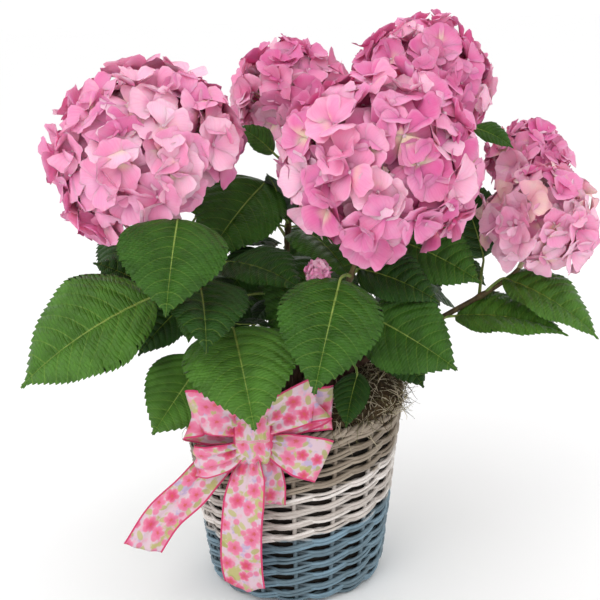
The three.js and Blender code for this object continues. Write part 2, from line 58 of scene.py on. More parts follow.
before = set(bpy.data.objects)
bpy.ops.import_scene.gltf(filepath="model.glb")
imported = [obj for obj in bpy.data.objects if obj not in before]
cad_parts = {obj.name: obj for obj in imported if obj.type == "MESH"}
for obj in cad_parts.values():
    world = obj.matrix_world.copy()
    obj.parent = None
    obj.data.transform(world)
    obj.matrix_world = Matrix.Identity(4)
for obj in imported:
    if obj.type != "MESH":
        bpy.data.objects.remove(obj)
CAD_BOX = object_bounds()

# ---------------------------------------------------------------- driving dimensions, millimetres and degrees

MM = 0.001
BODY = "root"
GAP = 0.3
SEED = 20

BASKET = {"height": 166, "rim": 98, "hip": 80, "hip_height": 22, "foot": 66}
PROUD = 1.0  # how far a weaver stands out of the basket's nominal face
PROFILE = {"bottom": 13, "hip": 24, "side": 29}  # points on each stretch of the basket's profile
BOTTOM_EDGE = 70  # within this radius weavers lie under the basket
WANDER = {"waves": 11, "size": 0.16}  # how weavers stray
# A stake's last measure is how much painted shade darkens it where it shows between the weavers.
STAKE = {"radius": 1.9, "foot": 14, "lowest": 2.6, "below_rim": 4, "sunk": 0.62}
RIM = {"strands": 3, "twists": 22, "inset": 3.6, "drop": 4.6, "coil": 2.2, "radius": 2.1}
MIX_TOP = 150
MIX_RADIUS = 90
CHIPS = {"shapes": 5, "size": (2.6, 1.5, 1), "density": 42000.0}
# Kinds of moss: the radius of a strand, how far strands lean, and their share of the settings' number.
MOSS_KINDS = (("straw", 0.46, 0.55, 1.7), ("brown", 0.42, 0.75, 1.0), ("olive", 0.3, 0.85, 0.9))
STRAND_STEPS = 8
CANE = {"foot": 4.6, "tip": 3.3, "knee": 26, "flare": 2.2, "joint": 34, "swell": 0.9}
SHOOT_TIP = 2.3
YOUNG_LEAF = {"petiole": 11, "length": (26, 44), "shares": (0.08, 0.3, 0.52, 0.74)}
LEAF = {"aspect": 0.76, "droop": 38, "fold": 9, "petiole": 1.7, "widest": 0.38, "arch": 0.075, "ripple": 1.7}
TEETH = {"start": 0.07, "run": 0.91, "rise": (0, 0.5, 0.86), "bite": (0, 0.62, 1.0)}
VEIN_SLOPE = 0.32  # how far forward a side vein runs for each step outwards, and how that grows
VEIN_CURVE = 0.16
FLORET = {"radius": 24, "spacing": 46}
DOME = {"lowest": 122, "flatness": 0.72, "hub": 0.34, "arms": 6, "arm_lean": 62, "arm_reach": 0.5}
# Layers of florets: share of the dome's count, nearest and furthest as shares of its radius, and the florets' size.
LAYERS = ((1, 0.76, 0.87, 0.96), (0.55, 0.6, 0.72, 0.9))
HELD = 1.4  # how near the solids' leaves a midrib lies when its leaf was kept
GOLDEN_TURN = 2.39996  # radians from floret to floret round a dome
LEAF_RULE = {"petiole": 34, "rise": 42, "turn": 14, "pitch": (-34, -8), "length": (84, 112), "roll": 18, "tries": 8}
BUD = {"at": 0.6, "centre": (24, -100, 301), "radius": 7.5, "number": 26, "size": 0.27}

# One row per stem, as its solids have it: foot, fork and head of the stem, centre, radius and lean of the dome.
# leaves: share of the shoot, base x, y, z, turn, pitch, length, roll, width over length, and the leaf's green (0, the
# deep green, is partly painted shade).
# pairs: share of the shoot and turn of opposite leaves. mix: how often each sepal colour is dealt.
STEMS = {
    "left": {
        "foot": (-16, -12), "fork": (-52, -46, 234), "head": (-92, -54, 326),
        "centre": (-108, -50, 384), "radius": 80, "lean": (-0.5, -0.2), "flatness": 0.62,
        "mix": (0.5, 4, 8, 5, 0.9),
        "leaves": [
            (0.38, -109, -68, 276, -165, -30, 130, 35, 0.76, 2),
            (0.8, -81, -112, 348, -98, -50, 82, 10, 0.98, 1),
            (0.3, -108, -26, 266, -176, 30, 64, 40, 0.76, 0),
            (0.12, -86, -40, 262, -149, -39, 60, 36, 0.7, 0),
            (0.03, -71, -68, 222, -154, -50, 76, 58, 0.8, 2),
            (0.1, -44, -90, 255, -77, -37, 98, -8, 0.9, 2),
            (0.62, -49, -45, 298, -35, -11, 79, -14, 0.76, 0),
        ],
        "pairs": [(0.55, 96)],
    },
    "middle": {
        "foot": (-3, 12), "fork": (-4, 20, 236), "head": (5, 66, 372),
        "centre": (6, 75, 419), "radius": 51, "lean": (-0.1, -0.1), "mix": (3, 6, 5, 2, 0.3),
        "leaves": [
            (0.75, -17, 28, 352, -135, -38, 98, 28, 0.8, 1),
            (0.55, -4, 24, 322, -116, 58, 50, 20, 0.76, 0),
            (0.85, -10, 18, 378, 176, 38, 40, 38, 0.7, 1),
            (0.35, -22, 2, 296, -143, -39, 54, 50, 0.7, 0),
            (0.1, -40, -6, 258, -140, -34, 56, 50, 0.76, 0),
        ],
        "pairs": [(0.12, -168), (0.45, 120)],
    },
    "front": {
        "foot": (13, -24), "fork": (30, -60, 232), "head": (58, -76, 314),
        "centre": (73, -75, 376), "radius": 81, "lean": (0.05, -0.5), "mix": (4, 7, 5, 2, 0),
        "leaves": [
            (0.72, 41, -104, 296, -112, -50, 98, 18, 0.8, 1),
            (0.3, 62, -74, 259, -21, -28, 88, -50, 0.8, 1),
            (0.7, 58, -60, 293, -21, -19, 72, -34, 0.7, 0),
            (0.1, 54, -100, 218, -122, -62, 46, 12, 0.62, 0),
        ],
        "pairs": [],
    },
    "top": {
        "foot": (15, 6), "fork": (46, 12, 234), "head": (112, 54, 384),
        "centre": (121, 60, 427), "radius": 62, "lean": (0.1, -0.05), "mix": (4, 7, 4, 2, 0.3),
        "leaves": [
            (0.4, 93, -25, 308, -21, -24, 79, -46, 0.76, 1),
            (0.05, 84, -20, 224, -38, -48, 56, -40, 0.74, 0),
            (0.85, 158, -5, 398, -13, -27, 38, -38, 0.6, 1),
        ],
        "pairs": [(0.3, 60)],
    },
    "right": {
        "foot": (34, -8), "fork": (126, -15, 234), "head": (198, -9, 278),
        "centre": (212, -15, 317), "radius": 49, "lean": (0.2, -0.35), "flatness": 0.85,
        "mix": (0.4, 2, 4, 6, 5),
        "leaves": [
            (0.04, 142, -18, 239, -18, -6, 98, -18, 0.62, 2),
            (0.55, 184, -12, 270, -24, -29, 96, -20, 0.62, 2),
            (0.5, 174, 32, 278, 146, 67, 83, 42, 0.72, 0),
        ],
        "pairs": [],
    },
    "right_rear": {
        "foot": (26, 22), "fork": (104, 52, 238), "head": (212, 82, 322),
        "centre": (222, 85, 353), "radius": 38, "lean": (0.1, 0), "mix": (3, 5, 5, 3, 1),
        "leaves": [],
        "pairs": [(0.55, 60)],
    },
    "rear": {
        "foot": (6, 30), "fork": (44, 86, 232), "head": (94, 140, 286),
        "centre": (102, 150, 326), "radius": 60, "lean": (0.1, 0.25), "mix": (3, 6, 5, 3, 0.5),
        "leaves": [],
        "pairs": [(0.05, 10), (0.45, 110), (0.85, 20)],
    },
    "rear_left": {
        "foot": (-20, 16), "fork": (-56, 58, 234), "head": (-108, 102, 312),
        "centre": (-119, 110, 354), "radius": 58, "lean": (-0.2, 0.2), "mix": (3, 6, 5, 3, 0.5),
        "leaves": [],
        "pairs": [(0.08, 50), (0.4, 140), (0.75, 60)],
    },
}

# The bow's pieces: the way the width lies, how far one corner, the middle and the other corner of a cut end reach
# past its last point, and x, y, z from the middle of the knot with the share of the ribbon's full width.
KNOT = {"centre": (-31, -103.2, 168), "size": (34, 20, 48)}
RIBBON_HALF = 0.16  # half the ribbon's thickness
FOLDS = {"pleat": 6.0, "belly": 1.1, "crease": 0.5}  # how high the ribbon's folds stand
BOW = {
    "loop_upper_left": ((0.02, -0.1, 1), (0, 0, 0), [
        (-7, -2.5, 8, 0.45), (-25, -10.5, 20, 0.85), (-42, -8.5, 24, 1), (-48, -2.5, 20, 1),
        (-43, 4.5, 12, 1), (-27, 7.5, 4, 0.85), (-7, 3.5, 6, 0.45)]),
    "loop_lower_left": ((-0.15, -0.15, 1), (0, 0, 0), [
        (-7, -4, -8, 0.25), (-23, -8.5, -15, 0.6), (-40, -8.5, -19, 0.75), (-47, -4, -19, 0.75),
        (-39, 0.5, -19, 0.75), (-23, -1, -15, 0.6), (-7, 0, -8, 0.25)]),
    "loop_upper_right": ((-0.1, -0.15, 1), (0, 0, 0), [
        (9, -3.5, 8, 0.45), (27, -12.5, 24, 0.85), (43, -12.5, 31, 1), (51, -6.5, 32, 1),
        (45, -1.5, 23, 1), (27, -1, 13, 0.85), (9, 0, 8, 0.45)]),
    "loop_rear_right": ((0.05, -0.1, 1), (0, 0, 0), [
        (9, 3.5, 6, 0.4), (29, 3, 14, 0.8), (49, 2.5, 19, 1), (61, 3.5, 20, 1),
        (64, 5.5, 20, 1), (55, 7, 19, 1), (35, 7.5, 14, 0.8), (9, 6.5, 6, 0.4)]),
    "tail_right": ((0.4, 0.05, 0.9), (0, 0, 0), [
        (9, -1.5, -6, 0.3), (23, -3.5, -11, 0.7), (37, -2.5, -17, 0.95), (49, 0.5, -22, 1),
        (57, 3.5, -26, 1)]),
    "tail_left": ((0.75, 0.05, -0.66), (6, 3, -3), [
        (-5, 3, -12, 0.3), (-20, 5, -19, 0.55), (-36, 6.5, -31, 0.75), (-54, 5, -50, 0.8),
        (-76, 2, -70, 0.8), (-93, -2, -94, 0.8)]),
    "tail_down": ((1, -0.25, 0), (-9, 3, -4), [
        (-2, -0.5, -15, 0.35), (-5, -3.5, -34, 0.75), (-9, -2.5, -56, 0.9), (-13, 1.5, -88, 0.92),
        (-14, 7.5, -118, 0.95), (-11, 13, -144, 0.9)]),
    "tail_short": ((1, 0.1, 0.1), (-4, 2, 4), [
        (4, 2.5, -12, 0.35), (7, 4, -28, 0.75), (8.5, 5.5, -46, 0.85), (8, 7.5, -61, 0.85)]),
}

# The stage, in metres: each lamp's name, place, size and power, what it lights, and what the camera looks at.
FLOOR_SIZE = 40
BACKDROP = 1.04  # strength of the white surroundings
LAMPS = (("key", (-0.7, -1.3, 1.5), 1.1, 10.0), ("fill", (1.4, -1.1, 0.9), 1.6, 1.6),
         ("rim_light", (0.5, 1.4, 1.3), 1.2, 3.0))
LIT_POINT = (0.03, 0, 0.26)
SEEN_POINT = (0.0095, 0, 0.252)


def paint(code):
    """A colour from its web code, in Blender's linear values."""
    channels = [int(code[place:place + 2], 16) / 255 for place in (1, 3, 5)]
    return tuple(c / 12.92 if c <= 0.04045 else ((c + 0.055) / 1.055) ** 2.4 for c in channels)


# ---------------------------------------------------------------- settings


def hue(name, description, code):
    return FloatVectorProperty(name=name, description=description, subtype="COLOR", default=paint(code))


def span(name, description, default, low, high, **more):
    return FloatProperty(name=name, description=description, default=default, min=low, max=high, **more)


def tally(name, description, default, low, high):
    return IntProperty(name=name, description=description, default=default, min=low, max=high)


class BasketSettings(bpy.types.PropertyGroup):
    """Sizes and dyes of the woven basket."""

    stakes: tally("Stakes", "Upright rods that the weavers pass", 16, 8, 32)
    rows: tally("Rows", "Pairs of weavers from the hip to the rim", 26, 8, 60)
    rod: span("Weaver radius", "Radius of one weaver, in millimetres", 1.68, 0.5, 4)
    swing: span("Swing", "How far a weaver swings out and in, in millimetres", 2.1, 0.5, 5)
    slant: span("Slant", "Rise of a weaver over each stake, in millimetres", 2.5, 0, 4)
    natural: hue("Natural", "Undyed top band", "#ada08f")
    white: hue("White", "Washed middle band", "#f3ede8")
    blue: hue("Blue", "Dyed lowest band", "#7f9dae")


class LeafSettings(bpy.types.PropertyGroup):
    """Shape and greens of the leaves."""

    tooth: span("Tooth pitch", "Length of one tooth of the margin, in millimetres", 4.3, 2, 12)
    vein_pairs: tally("Vein pairs", "Side veins on each half", 8, 3, 16)
    quilting: span("Quilting", "Swell between side veins, in millimetres", 1.5, 0, 4)
    # The deep green is partly painted shade: besides older leaves, it darkens leaves inside the plant as if in shade.
    deep: hue("Deep green", "Older, shaded leaves", "#23480f")
    middling: hue("Green", "Full-grown leaves", "#37601a")
    fresh: hue("Fresh green", "Young leaves", "#4a7626")
    vein: hue("Vein", "Midrib and side veins", "#a9bd54")


class BloomSettings(bpy.types.PropertyGroup):
    """Florets of the flower domes."""

    spacing: span("Floret spacing", "Mean distance between florets, in millimetres", 27, 18, 60)
    tilt: span("Tilt", "Scatter of the florets' facing, in degrees", 30, 0, 45)
    deep: hue("Deep pink", "Deepest sepals", "#db66a0")
    rose: hue("Rose", "Common sepals", "#e37aae")
    pink: hue("Pink", "Lighter sepals", "#ee95bd")
    blush: hue("Blush", "Palest pink sepals", "#f5b5cf")
    cream: hue("Cream", "Young creamy sepals", "#f4dccb")


class MossSettings(bpy.types.PropertyGroup):
    """Dry moss over the rim."""

    strands: span("Strands", "Strands to a square metre of moss", 26000, 1000, 400000)
    seed: tally("Seed", "Places of the strands", 7, 0, 1000)
    straw: hue("Straw", "Dry strands", "#cfc2a6")
    olive: hue("Olive", "Greener strands", "#75704a")
    brown: hue("Brown", "Rotting strands and the bed", "#54442e")


class RibbonSettings(bpy.types.PropertyGroup):
    """Ribbon of the bow."""

    width: span("Width", "Width of the ribbon, in millimetres", 38, 10, 80)
    motif: span("Motif", "Distance between printed flowers, in millimetres", 17, 5, 40)
    ground: hue("Ground", "Ground of the print", "#d6bbc6")
    flower: hue("Flower", "Printed flowers", "#d23366")
    edge: hue("Edge", "Wired edge", "#d43c71")


class StageSettings(bpy.types.PropertyGroup):
    """Floor, light and camera."""

    distance: span("Distance", "Camera from the middle of the plant, in metres", 1.0, 0.3, 5, subtype="DISTANCE")
    pitch: span("Pitch", "How far the camera looks down, in degrees", 15, 0, 90)
    roll: span("Roll", "Turn about the line of sight, in degrees", -1.5, -180, 180)
    lens: span("Lens", "Focal length, in millimetres", 69, 20, 200)
    floor: FloatVectorProperty(name="Floor", description="Colour of the floor", subtype="COLOR",
                               default=(0.97, 0.97, 0.97))


# ---------------------------------------------------------------- numbers and curves


def random_from(seed):
    """The seeded draw that the plant's solids use as well: numbers from 0 to 1."""
    whole = 0xFFFFFFFF
    state = [seed & whole]

    def draw():
        state[0] = (state[0] + 0x6D2B79F5) & whole
        mixed = ((state[0] ^ (state[0] >> 15)) * (state[0] | 1)) & whole
        mixed ^= (mixed + (((mixed ^ (mixed >> 7)) * (mixed | 61)) & whole)) & whole
        return ((mixed ^ (mixed >> 14)) & whole) / 4294967296

    return draw


def lerp(low, high, share):
    """The value at a share of the way from low to high."""
    return low + (high - low) * share


def unit(vector):
    """Vectors at a length of 1."""
    vector = np.asarray(vector, float)
    length = np.linalg.norm(vector, axis=-1, keepdims=True)
    return vector / np.maximum(length, 1e-9)


def direction(turn, pitch):
    """A unit vector, turned from +X and pitched up from the horizontal, in degrees."""
    turn, pitch = math.radians(turn), math.radians(pitch)
    level = math.cos(pitch)
    return np.array([level * math.cos(turn), level * math.sin(turn), math.sin(pitch)])


def bent(knots, number):
    """Points evenly along a smooth curve through knots."""
    return Path(knots).at(np.linspace(0, 1, number))


def turns(number):
    """Turns evenly round a circle, in radians."""
    return np.arange(number) / number * 2 * math.pi


def wheel(radius, turn, height):
    """Points round +Z at a radius, a turn in radians and a height."""
    x = radius * np.cos(turn)
    return np.stack([x, radius * np.sin(turn), np.broadcast_to(height, np.shape(x))], -1)


class Path:
    """A centripetal Catmull-Rom curve through knots, read by the share of its length."""

    def __init__(self, knots):
        knots = np.array(knots, float)
        first = 2 * knots[0] - knots[1]
        last = 2 * knots[-1] - knots[-2]
        ends = np.vstack([first, knots, last])
        steps = np.maximum(np.linalg.norm(np.diff(ends, axis=0), axis=1), 1e-6) ** 0.5
        self.spans = []
        for i in range(len(knots) - 1):
            p0, p1, p2, p3 = ends[i:i + 4]
            d0, d1, d2 = steps[i:i + 3]
            out = ((p1 - p0) / d0 - (p2 - p0) / (d0 + d1) + (p2 - p1) / d1) * d1
            into = ((p2 - p1) / d1 - (p3 - p1) / (d1 + d2) + (p3 - p2) / d2) * d1
            self.spans.append((p1, out, 3 * (p2 - p1) - 2 * out - into, 2 * (p1 - p2) + out + into))
        self.spans = np.array(self.spans)
        self.knots = np.linspace(0, len(knots) - 1, 400 * (len(knots) - 1) + 1)
        points = self.raw(self.knots)
        self.lengths = np.concatenate([[0], np.cumsum(np.linalg.norm(np.diff(points, axis=0), axis=1))])
        self.total = self.lengths[-1]

    def raw(self, knot):
        knot = np.atleast_1d(knot)
        span = np.minimum(knot.astype(int), len(self.spans) - 1)
        t = (knot - span)[:, None]
        a, b, c, d = (self.spans[span, k] for k in range(4))
        return a + b * t + c * t ** 2 + d * t ** 3

    def knot_at(self, share):
        return np.interp(np.clip(share, 0, 1) * self.total, self.lengths, self.knots)

    def at(self, share):
        found = self.raw(self.knot_at(share))
        return found if np.ndim(share) else found[0]

    def tangent(self, share):
        share = np.asarray(share, float)
        found = unit(self.raw(self.knot_at(share + 1e-3)) - self.raw(self.knot_at(share - 1e-3)))
        return found if share.ndim else found[0]

    def share_of_knot(self, knot):
        return np.interp(knot, self.knots, self.lengths) / self.total


def spine_of(stem):
    """The whole run of a stem, from the potting mix to the heart of its dome, and where its parts meet."""
    foot = np.array([*stem["foot"], MIX_TOP + GAP], float)
    path = Path([foot, foot + (0, 0, CANE["knee"]), stem["fork"], stem["head"], stem["centre"]])
    return path, path.share_of_knot(2), path.share_of_knot(3)


# ---------------------------------------------------------------- meshes


class Patchwork:
    """Grids of points that are joined into one mesh, with a pattern map and a material number for each."""

    def __init__(self):
        self.points, self.faces, self.maps, self.tones, self.count = [], [], [], [], 0

    def add(self, grid, pattern=(0.0, 0.0), tone=0, around=False, caps=False):
        rows, columns = grid.shape[:2]
        index = np.arange(rows * columns).reshape(rows, columns) + self.count
        if around:
            index = np.hstack([index, index[:, :1]])
        quads = np.stack([index[:-1, :-1], index[:-1, 1:], index[1:, 1:], index[1:, :-1]], -1).reshape(-1, 4)
        self.points.append(grid.reshape(-1, 3))
        self.maps.append(np.broadcast_to(pattern, (rows, columns, 2)).reshape(-1, 2))
        found = quads.tolist()
        if caps:
            found += [index[0, :columns][::-1].tolist(), index[-1, :columns].tolist()]
        self.faces += found
        self.tones += [tone] * len(found)
        self.count += rows * columns

    def mesh(self, name, map_name="Pattern"):
        made = bpy.data.meshes.new(name)
        made.from_pydata((np.vstack(self.points) * MM).tolist(), [], self.faces)
        layer = made.uv_layers.new(name=map_name)
        corners = np.zeros(len(made.loops), np.int32)
        made.loops.foreach_get("vertex_index", corners)
        layer.data.foreach_set("uv", np.vstack(self.maps)[corners].astype(np.float32).ravel())
        made.polygons.foreach_set("material_index", np.array(self.tones, np.int32))
        made.polygons.foreach_set("use_smooth", np.ones(len(made.polygons), bool))
        made.update()
        return made


def paths_mesh(name, paths):
    """A mesh of edges for rods to be grown on: rows of points, radius, tone, whether closed, and how much painted
    shade darkens them.
    """
    points, edges, thick, tones, sunk, count = [], [], [], [], [], 0
    for line, radius, tone, closed, *deep in paths:
        number = len(line)
        points.append(np.asarray(line, float))
        thick.append(np.broadcast_to(radius, number))
        tones.append(np.full(number, tone))
        sunk.append(np.broadcast_to(deep[0] if deep else 0.0, number))
        run = np.arange(number) + count
        edges.append(np.stack([run[:-1], run[1:]], -1))
        if closed:
            edges.append([[run[-1], run[0]]])
        count += number
    made = bpy.data.meshes.new(name)
    made.from_pydata((np.vstack(points) * MM).tolist(), np.vstack(edges).tolist(), [])
    for label, values in (("thick", np.concatenate(thick) * MM), ("tone", np.concatenate(tones)),
                          ("sunk", np.concatenate(sunk))):
        made.attributes.new(label, "FLOAT", "POINT").data.foreach_set("value", values.astype(np.float32))
    return made


def piece(name, shape, materials=(), replaces=()):
    """A finished piece of the plant on its one body, from a mesh or a patchwork."""
    mesh = shape.mesh(name) if isinstance(shape, Patchwork) else shape
    made = bpy.data.objects.new(name, mesh)
    bpy.context.scene.collection.objects.link(made)
    for finish in materials:
        mesh.materials.append(finish)
    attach(made, BODY)
    if replaces:
        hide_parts(*replaces)
    return made


def grown(name, base, tree, values):
    """The plain mesh that a node tree grows from a base mesh."""
    source = bpy.data.objects.new(name + "_base", base)
    bpy.context.scene.collection.objects.link(source)
    modifier = source.modifiers.new("Grow", "NODES")
    modifier.node_group = tree
    for socket in tree.interface.items_tree:
        if socket.in_out == "INPUT" and values.get(socket.name) is not None:
            modifier[socket.identifier] = values[socket.name]
    graph = bpy.context.evaluated_depsgraph_get()
    made = bpy.data.meshes.new_from_object(source.evaluated_get(graph), depsgraph=graph)
    made.name = name
    bpy.data.objects.remove(source)
    bpy.data.meshes.remove(base)
    return made


def rods(name, paths, sides, finish=None):
    """The mesh of rods along paths."""
    return grown(name, paths_mesh(name, paths), LIBRARY["rods"], {"Sides": sides, "Material": finish})


# ---------------------------------------------------------------- nodes


class Wire:
    """An output of a node, which can be reckoned with like a number."""

    def __init__(self, socket):
        self.socket = socket
        self.tree = socket.id_data

    def __abs__(self):
        return calc("ABSOLUTE", self)


for _sign, _kind in {"add": "ADD", "sub": "SUBTRACT", "mul": "MULTIPLY", "truediv": "DIVIDE", "pow": "POWER"}.items():
    setattr(Wire, f"__{_sign}__", lambda self, other, kind=_kind: calc(kind, self, other))
    setattr(Wire, f"__r{_sign}__", lambda self, other, kind=_kind: calc(kind, other, self))


def rgba(colour):
    """Four channels of a colour given as numbers or by its web code."""
    return (*(paint(colour) if isinstance(colour, str) else colour[:3]), 1.0)


def add(tree, kind, inputs=None, **settings):
    """A node with its settings, and its inputs linked or set."""
    node = tree.nodes.new(kind)
    for key, value in settings.items():
        setattr(node, key, value)
    for key, value in (inputs or {}).items():
        if isinstance(value, Wire):
            tree.links.new(value.socket, node.inputs[key])
        else:
            node.inputs[key].default_value = value
    return node


def wire(tree, kind, inputs=None, output=0, **settings):
    return Wire(add(tree, kind, inputs, **settings).outputs[output])


def tree_of(*values):
    return next(value.tree for value in values if isinstance(value, Wire))


def calc(operation, *values):
    return wire(tree_of(*values), "ShaderNodeMath", dict(enumerate(values)), operation=operation)


def vector_calc(operation, *values, output=0):
    return wire(tree_of(*values), "ShaderNodeVectorMath", dict(enumerate(values)), output, operation=operation)


def split(vector):
    return [Wire(socket) for socket in add(vector.tree, "ShaderNodeSeparateXYZ", {0: vector}).outputs]


def ramp(value, low, high, start=0.0, end=1.0):
    """A smooth step of a value, from start at low to end at high."""
    inputs = {0: value, 1: low, 2: high, 3: start, 4: end}
    return wire(value.tree, "ShaderNodeMapRange", inputs, interpolation_type="SMOOTHSTEP")


def blend(share, first, second, mode="MIX"):
    first, second = (c if isinstance(c, Wire) else rgba(c) for c in (first, second))
    inputs = {0: share, 6: first, 7: second}
    return wire(tree_of(share, first, second), "ShaderNodeMix", inputs, 2, data_type="RGBA", blend_type=mode)


def speckle(vector, scale, detail=3.0, roughness=0.55):
    inputs = {"Vector": vector, "Scale": scale, "Detail": detail, "Roughness": roughness}
    return wire(vector.tree, "ShaderNodeTexNoise", inputs)


def new_tree(name, kind, inputs, outputs):
    """A node tree with named sockets, what comes in, and a function that links what goes out."""
    tree = bpy.data.node_groups.new(name, kind + "NodeTree")
    for label, socket, *default in inputs:
        made = tree.interface.new_socket(name=label, in_out="INPUT", socket_type="NodeSocket" + socket)
        if default:
            made.default_value = default[0]
    for label, socket in outputs:
        tree.interface.new_socket(name=label, in_out="OUTPUT", socket_type="NodeSocket" + socket)
    given = {socket.name: Wire(socket) for socket in tree.nodes.new("NodeGroupInput").outputs if socket.name}
    ends = tree.nodes.new("NodeGroupOutput").inputs

    def give(*values):
        for value, (label, _) in zip(values, outputs):
            tree.links.new(value.socket, ends[label])
        return tree

    return tree, given, give


def geometry_tree(name, *inputs):
    return new_tree(name, "Geometry", [("Geometry", "Geometry"), *inputs], [("Geometry", "Geometry")])


def measure(tree, name, kind="FLOAT"):
    return wire(tree, "GeometryNodeInputNamedAttribute", {"Name": name}, data_type=kind)


def in_material(shape, material, **chosen):
    return wire(shape.tree, "GeometryNodeSetMaterial", {"Geometry": shape, "Material": material, **chosen})


def placed_shapes(tree, points, shapes, seed, turned, size):
    """Shapes picked from a collection by chance, turned and sized on points, and made real."""
    picked = wire(tree, "GeometryNodeCollectionInfo",
                  {"Collection": shapes, "Separate Children": True, "Reset Children": True})
    pick = wire(tree, "FunctionNodeRandomValue", {4: 0, 5: 100, 8: seed}, 2, data_type="INT")
    placed = wire(tree, "GeometryNodeInstanceOnPoints", {
        "Points": points, "Instance": picked, "Pick Instance": True, "Instance Index": pick, "Rotation": turned,
        "Scale": size})
    return wire(tree, "GeometryNodeRealizeInstances", {"Geometry": placed})


def rods_tree():
    """Rods along the edges of a mesh, as thick as its own measure says."""
    tree, given, give = geometry_tree("Rods Along Paths", ("Sides", "Int", 6), ("Material", "Material"))
    curve = wire(tree, "GeometryNodeMeshToCurve", {"Mesh": given["Geometry"]})
    section = wire(tree, "GeometryNodeCurvePrimitiveCircle", {"Resolution": given["Sides"], "Radius": 1.0})
    rods = wire(tree, "GeometryNodeCurveToMesh", {
        "Curve": curve, "Profile Curve": section, "Scale": measure(tree, "thick"), "Fill Caps": True})
    smooth = wire(tree, "GeometryNodeSetShadeSmooth", {"Geometry": rods})
    whole = wire(tree, "GeometryNodeRealizeInstances", {"Geometry": smooth})
    return give(in_material(whole, given["Material"]))


def florets_tree(tones):
    """A floret on each point, turned and sized by the point's measures, its material dealt by its tone."""
    tree, given, give = geometry_tree("Florets On A Dome", ("Florets", "Collection"), ("Seed", "Int", 1),
                                      *[(f"Material {k}", "Material") for k in range(tones)])
    points = wire(tree, "GeometryNodeMeshToPoints", {"Mesh": given["Geometry"]})
    shape = placed_shapes(tree, points, given["Florets"], given["Seed"], measure(tree, "facing", "FLOAT_VECTOR"),
                          measure(tree, "size"))
    tone = measure(tree, "tone", "INT")
    for k in range(tones):
        chosen = wire(tree, "FunctionNodeCompare", {2: tone, 3: k}, data_type="INT", operation="EQUAL")
        shape = in_material(shape, given[f"Material {k}"], Selection=chosen)
    return give(shape)


def scatter_tree():
    """Small shapes scattered over a surface."""
    tree, given, give = geometry_tree(
        "Scattered Over A Surface", ("Shapes", "Collection"), ("Density", "Float", 1000.0), ("Seed", "Int", 1),
        ("Lean", "Float", 0.8), ("Smallest", "Float", 0.6), ("Largest", "Float", 1.2), ("Material", "Material"))
    seed, lean = given["Seed"], given["Lean"]
    spread = add(tree, "GeometryNodeDistributePointsOnFaces",
                 {"Mesh": given["Geometry"], "Density": given["Density"], "Seed": seed}).outputs
    most = wire(tree, "ShaderNodeCombineXYZ", {0: lean, 1: lean, 2: math.pi})
    least = vector_calc("MULTIPLY", most, (-1, -1, -1))
    wobble = wire(tree, "FunctionNodeRandomValue", {0: least, 1: most, 8: seed}, data_type="FLOAT_VECTOR")
    turned = wire(tree, "FunctionNodeRotateRotation", {0: Wire(spread["Rotation"]), 1: wobble},
                  rotation_space="LOCAL")
    size = wire(tree, "FunctionNodeRandomValue", {2: given["Smallest"], 3: given["Largest"], 8: seed}, 1,
                data_type="FLOAT")
    whole = placed_shapes(tree, Wire(spread["Points"]), given["Shapes"], seed, turned, size)
    return give(in_material(whole, given["Material"]))


def shelf(name, meshes):
    """A collection outside the scene that holds the shapes a tree picks from."""
    collection = bpy.data.collections.new(name)
    for k, mesh in enumerate(meshes):
        collection.objects.link(bpy.data.objects.new(f"{name}_{k}", mesh))
    return collection


# ---------------------------------------------------------------- shader groups and materials


def principled(name, roughness, specular=0.5, **more):
    """A new material, its tree and its shader."""
    finish = bpy.data.materials.new(name)
    finish.use_nodes = True
    shader = finish.node_tree.nodes["Principled BSDF"]
    for label, value in {"Roughness": roughness, "Specular IOR Level": specular, **more}.items():
        shader.inputs[label.replace("_", " ")].default_value = value
    return finish, finish.node_tree, shader


def bump(shader, height, distance, strength=0.6):
    node = add(height.tree, "ShaderNodeBump", {"Height": height, "Distance": distance, "Strength": strength})
    height.tree.links.new(node.outputs[0], shader.inputs["Normal"])


def coloured(shader, colour, label="Base Color"):
    colour.tree.links.new(colour.socket, shader.inputs[label])


def placed_group(tree, group, inputs):
    return {socket.name: Wire(socket) for socket in add(tree, "ShaderNodeGroup", inputs, node_tree=group).outputs}


def object_place(tree):
    return wire(tree, "ShaderNodeTexCoord", None, "Object")


def pattern_map(tree):
    return wire(tree, "ShaderNodeUVMap", uv_map="Pattern")


def grain_group():
    """Long fibres and patches, for rods, bark, stems and mix."""
    tree, given, give = new_tree("Plant Grain", "Shader", [
        ("Vector", "Vector"), ("Stretch", "Vector", (1.0, 1.0, 1.0)), ("Dark", "Color", (0.1, 0.1, 0.1, 1)),
        ("Light", "Color", (0.5, 0.5, 0.5, 1))], [("Color", "Color"), ("Height", "Float")])
    fibres = speckle(vector_calc("MULTIPLY", given["Vector"], given["Stretch"]), 1.0, 4.0, 0.65)
    share = ramp(fibres * 0.65 + speckle(given["Vector"], 55.0, 2.0) * 0.35, 0.34, 0.66)
    return give(blend(share, given["Dark"], given["Light"]), fibres)


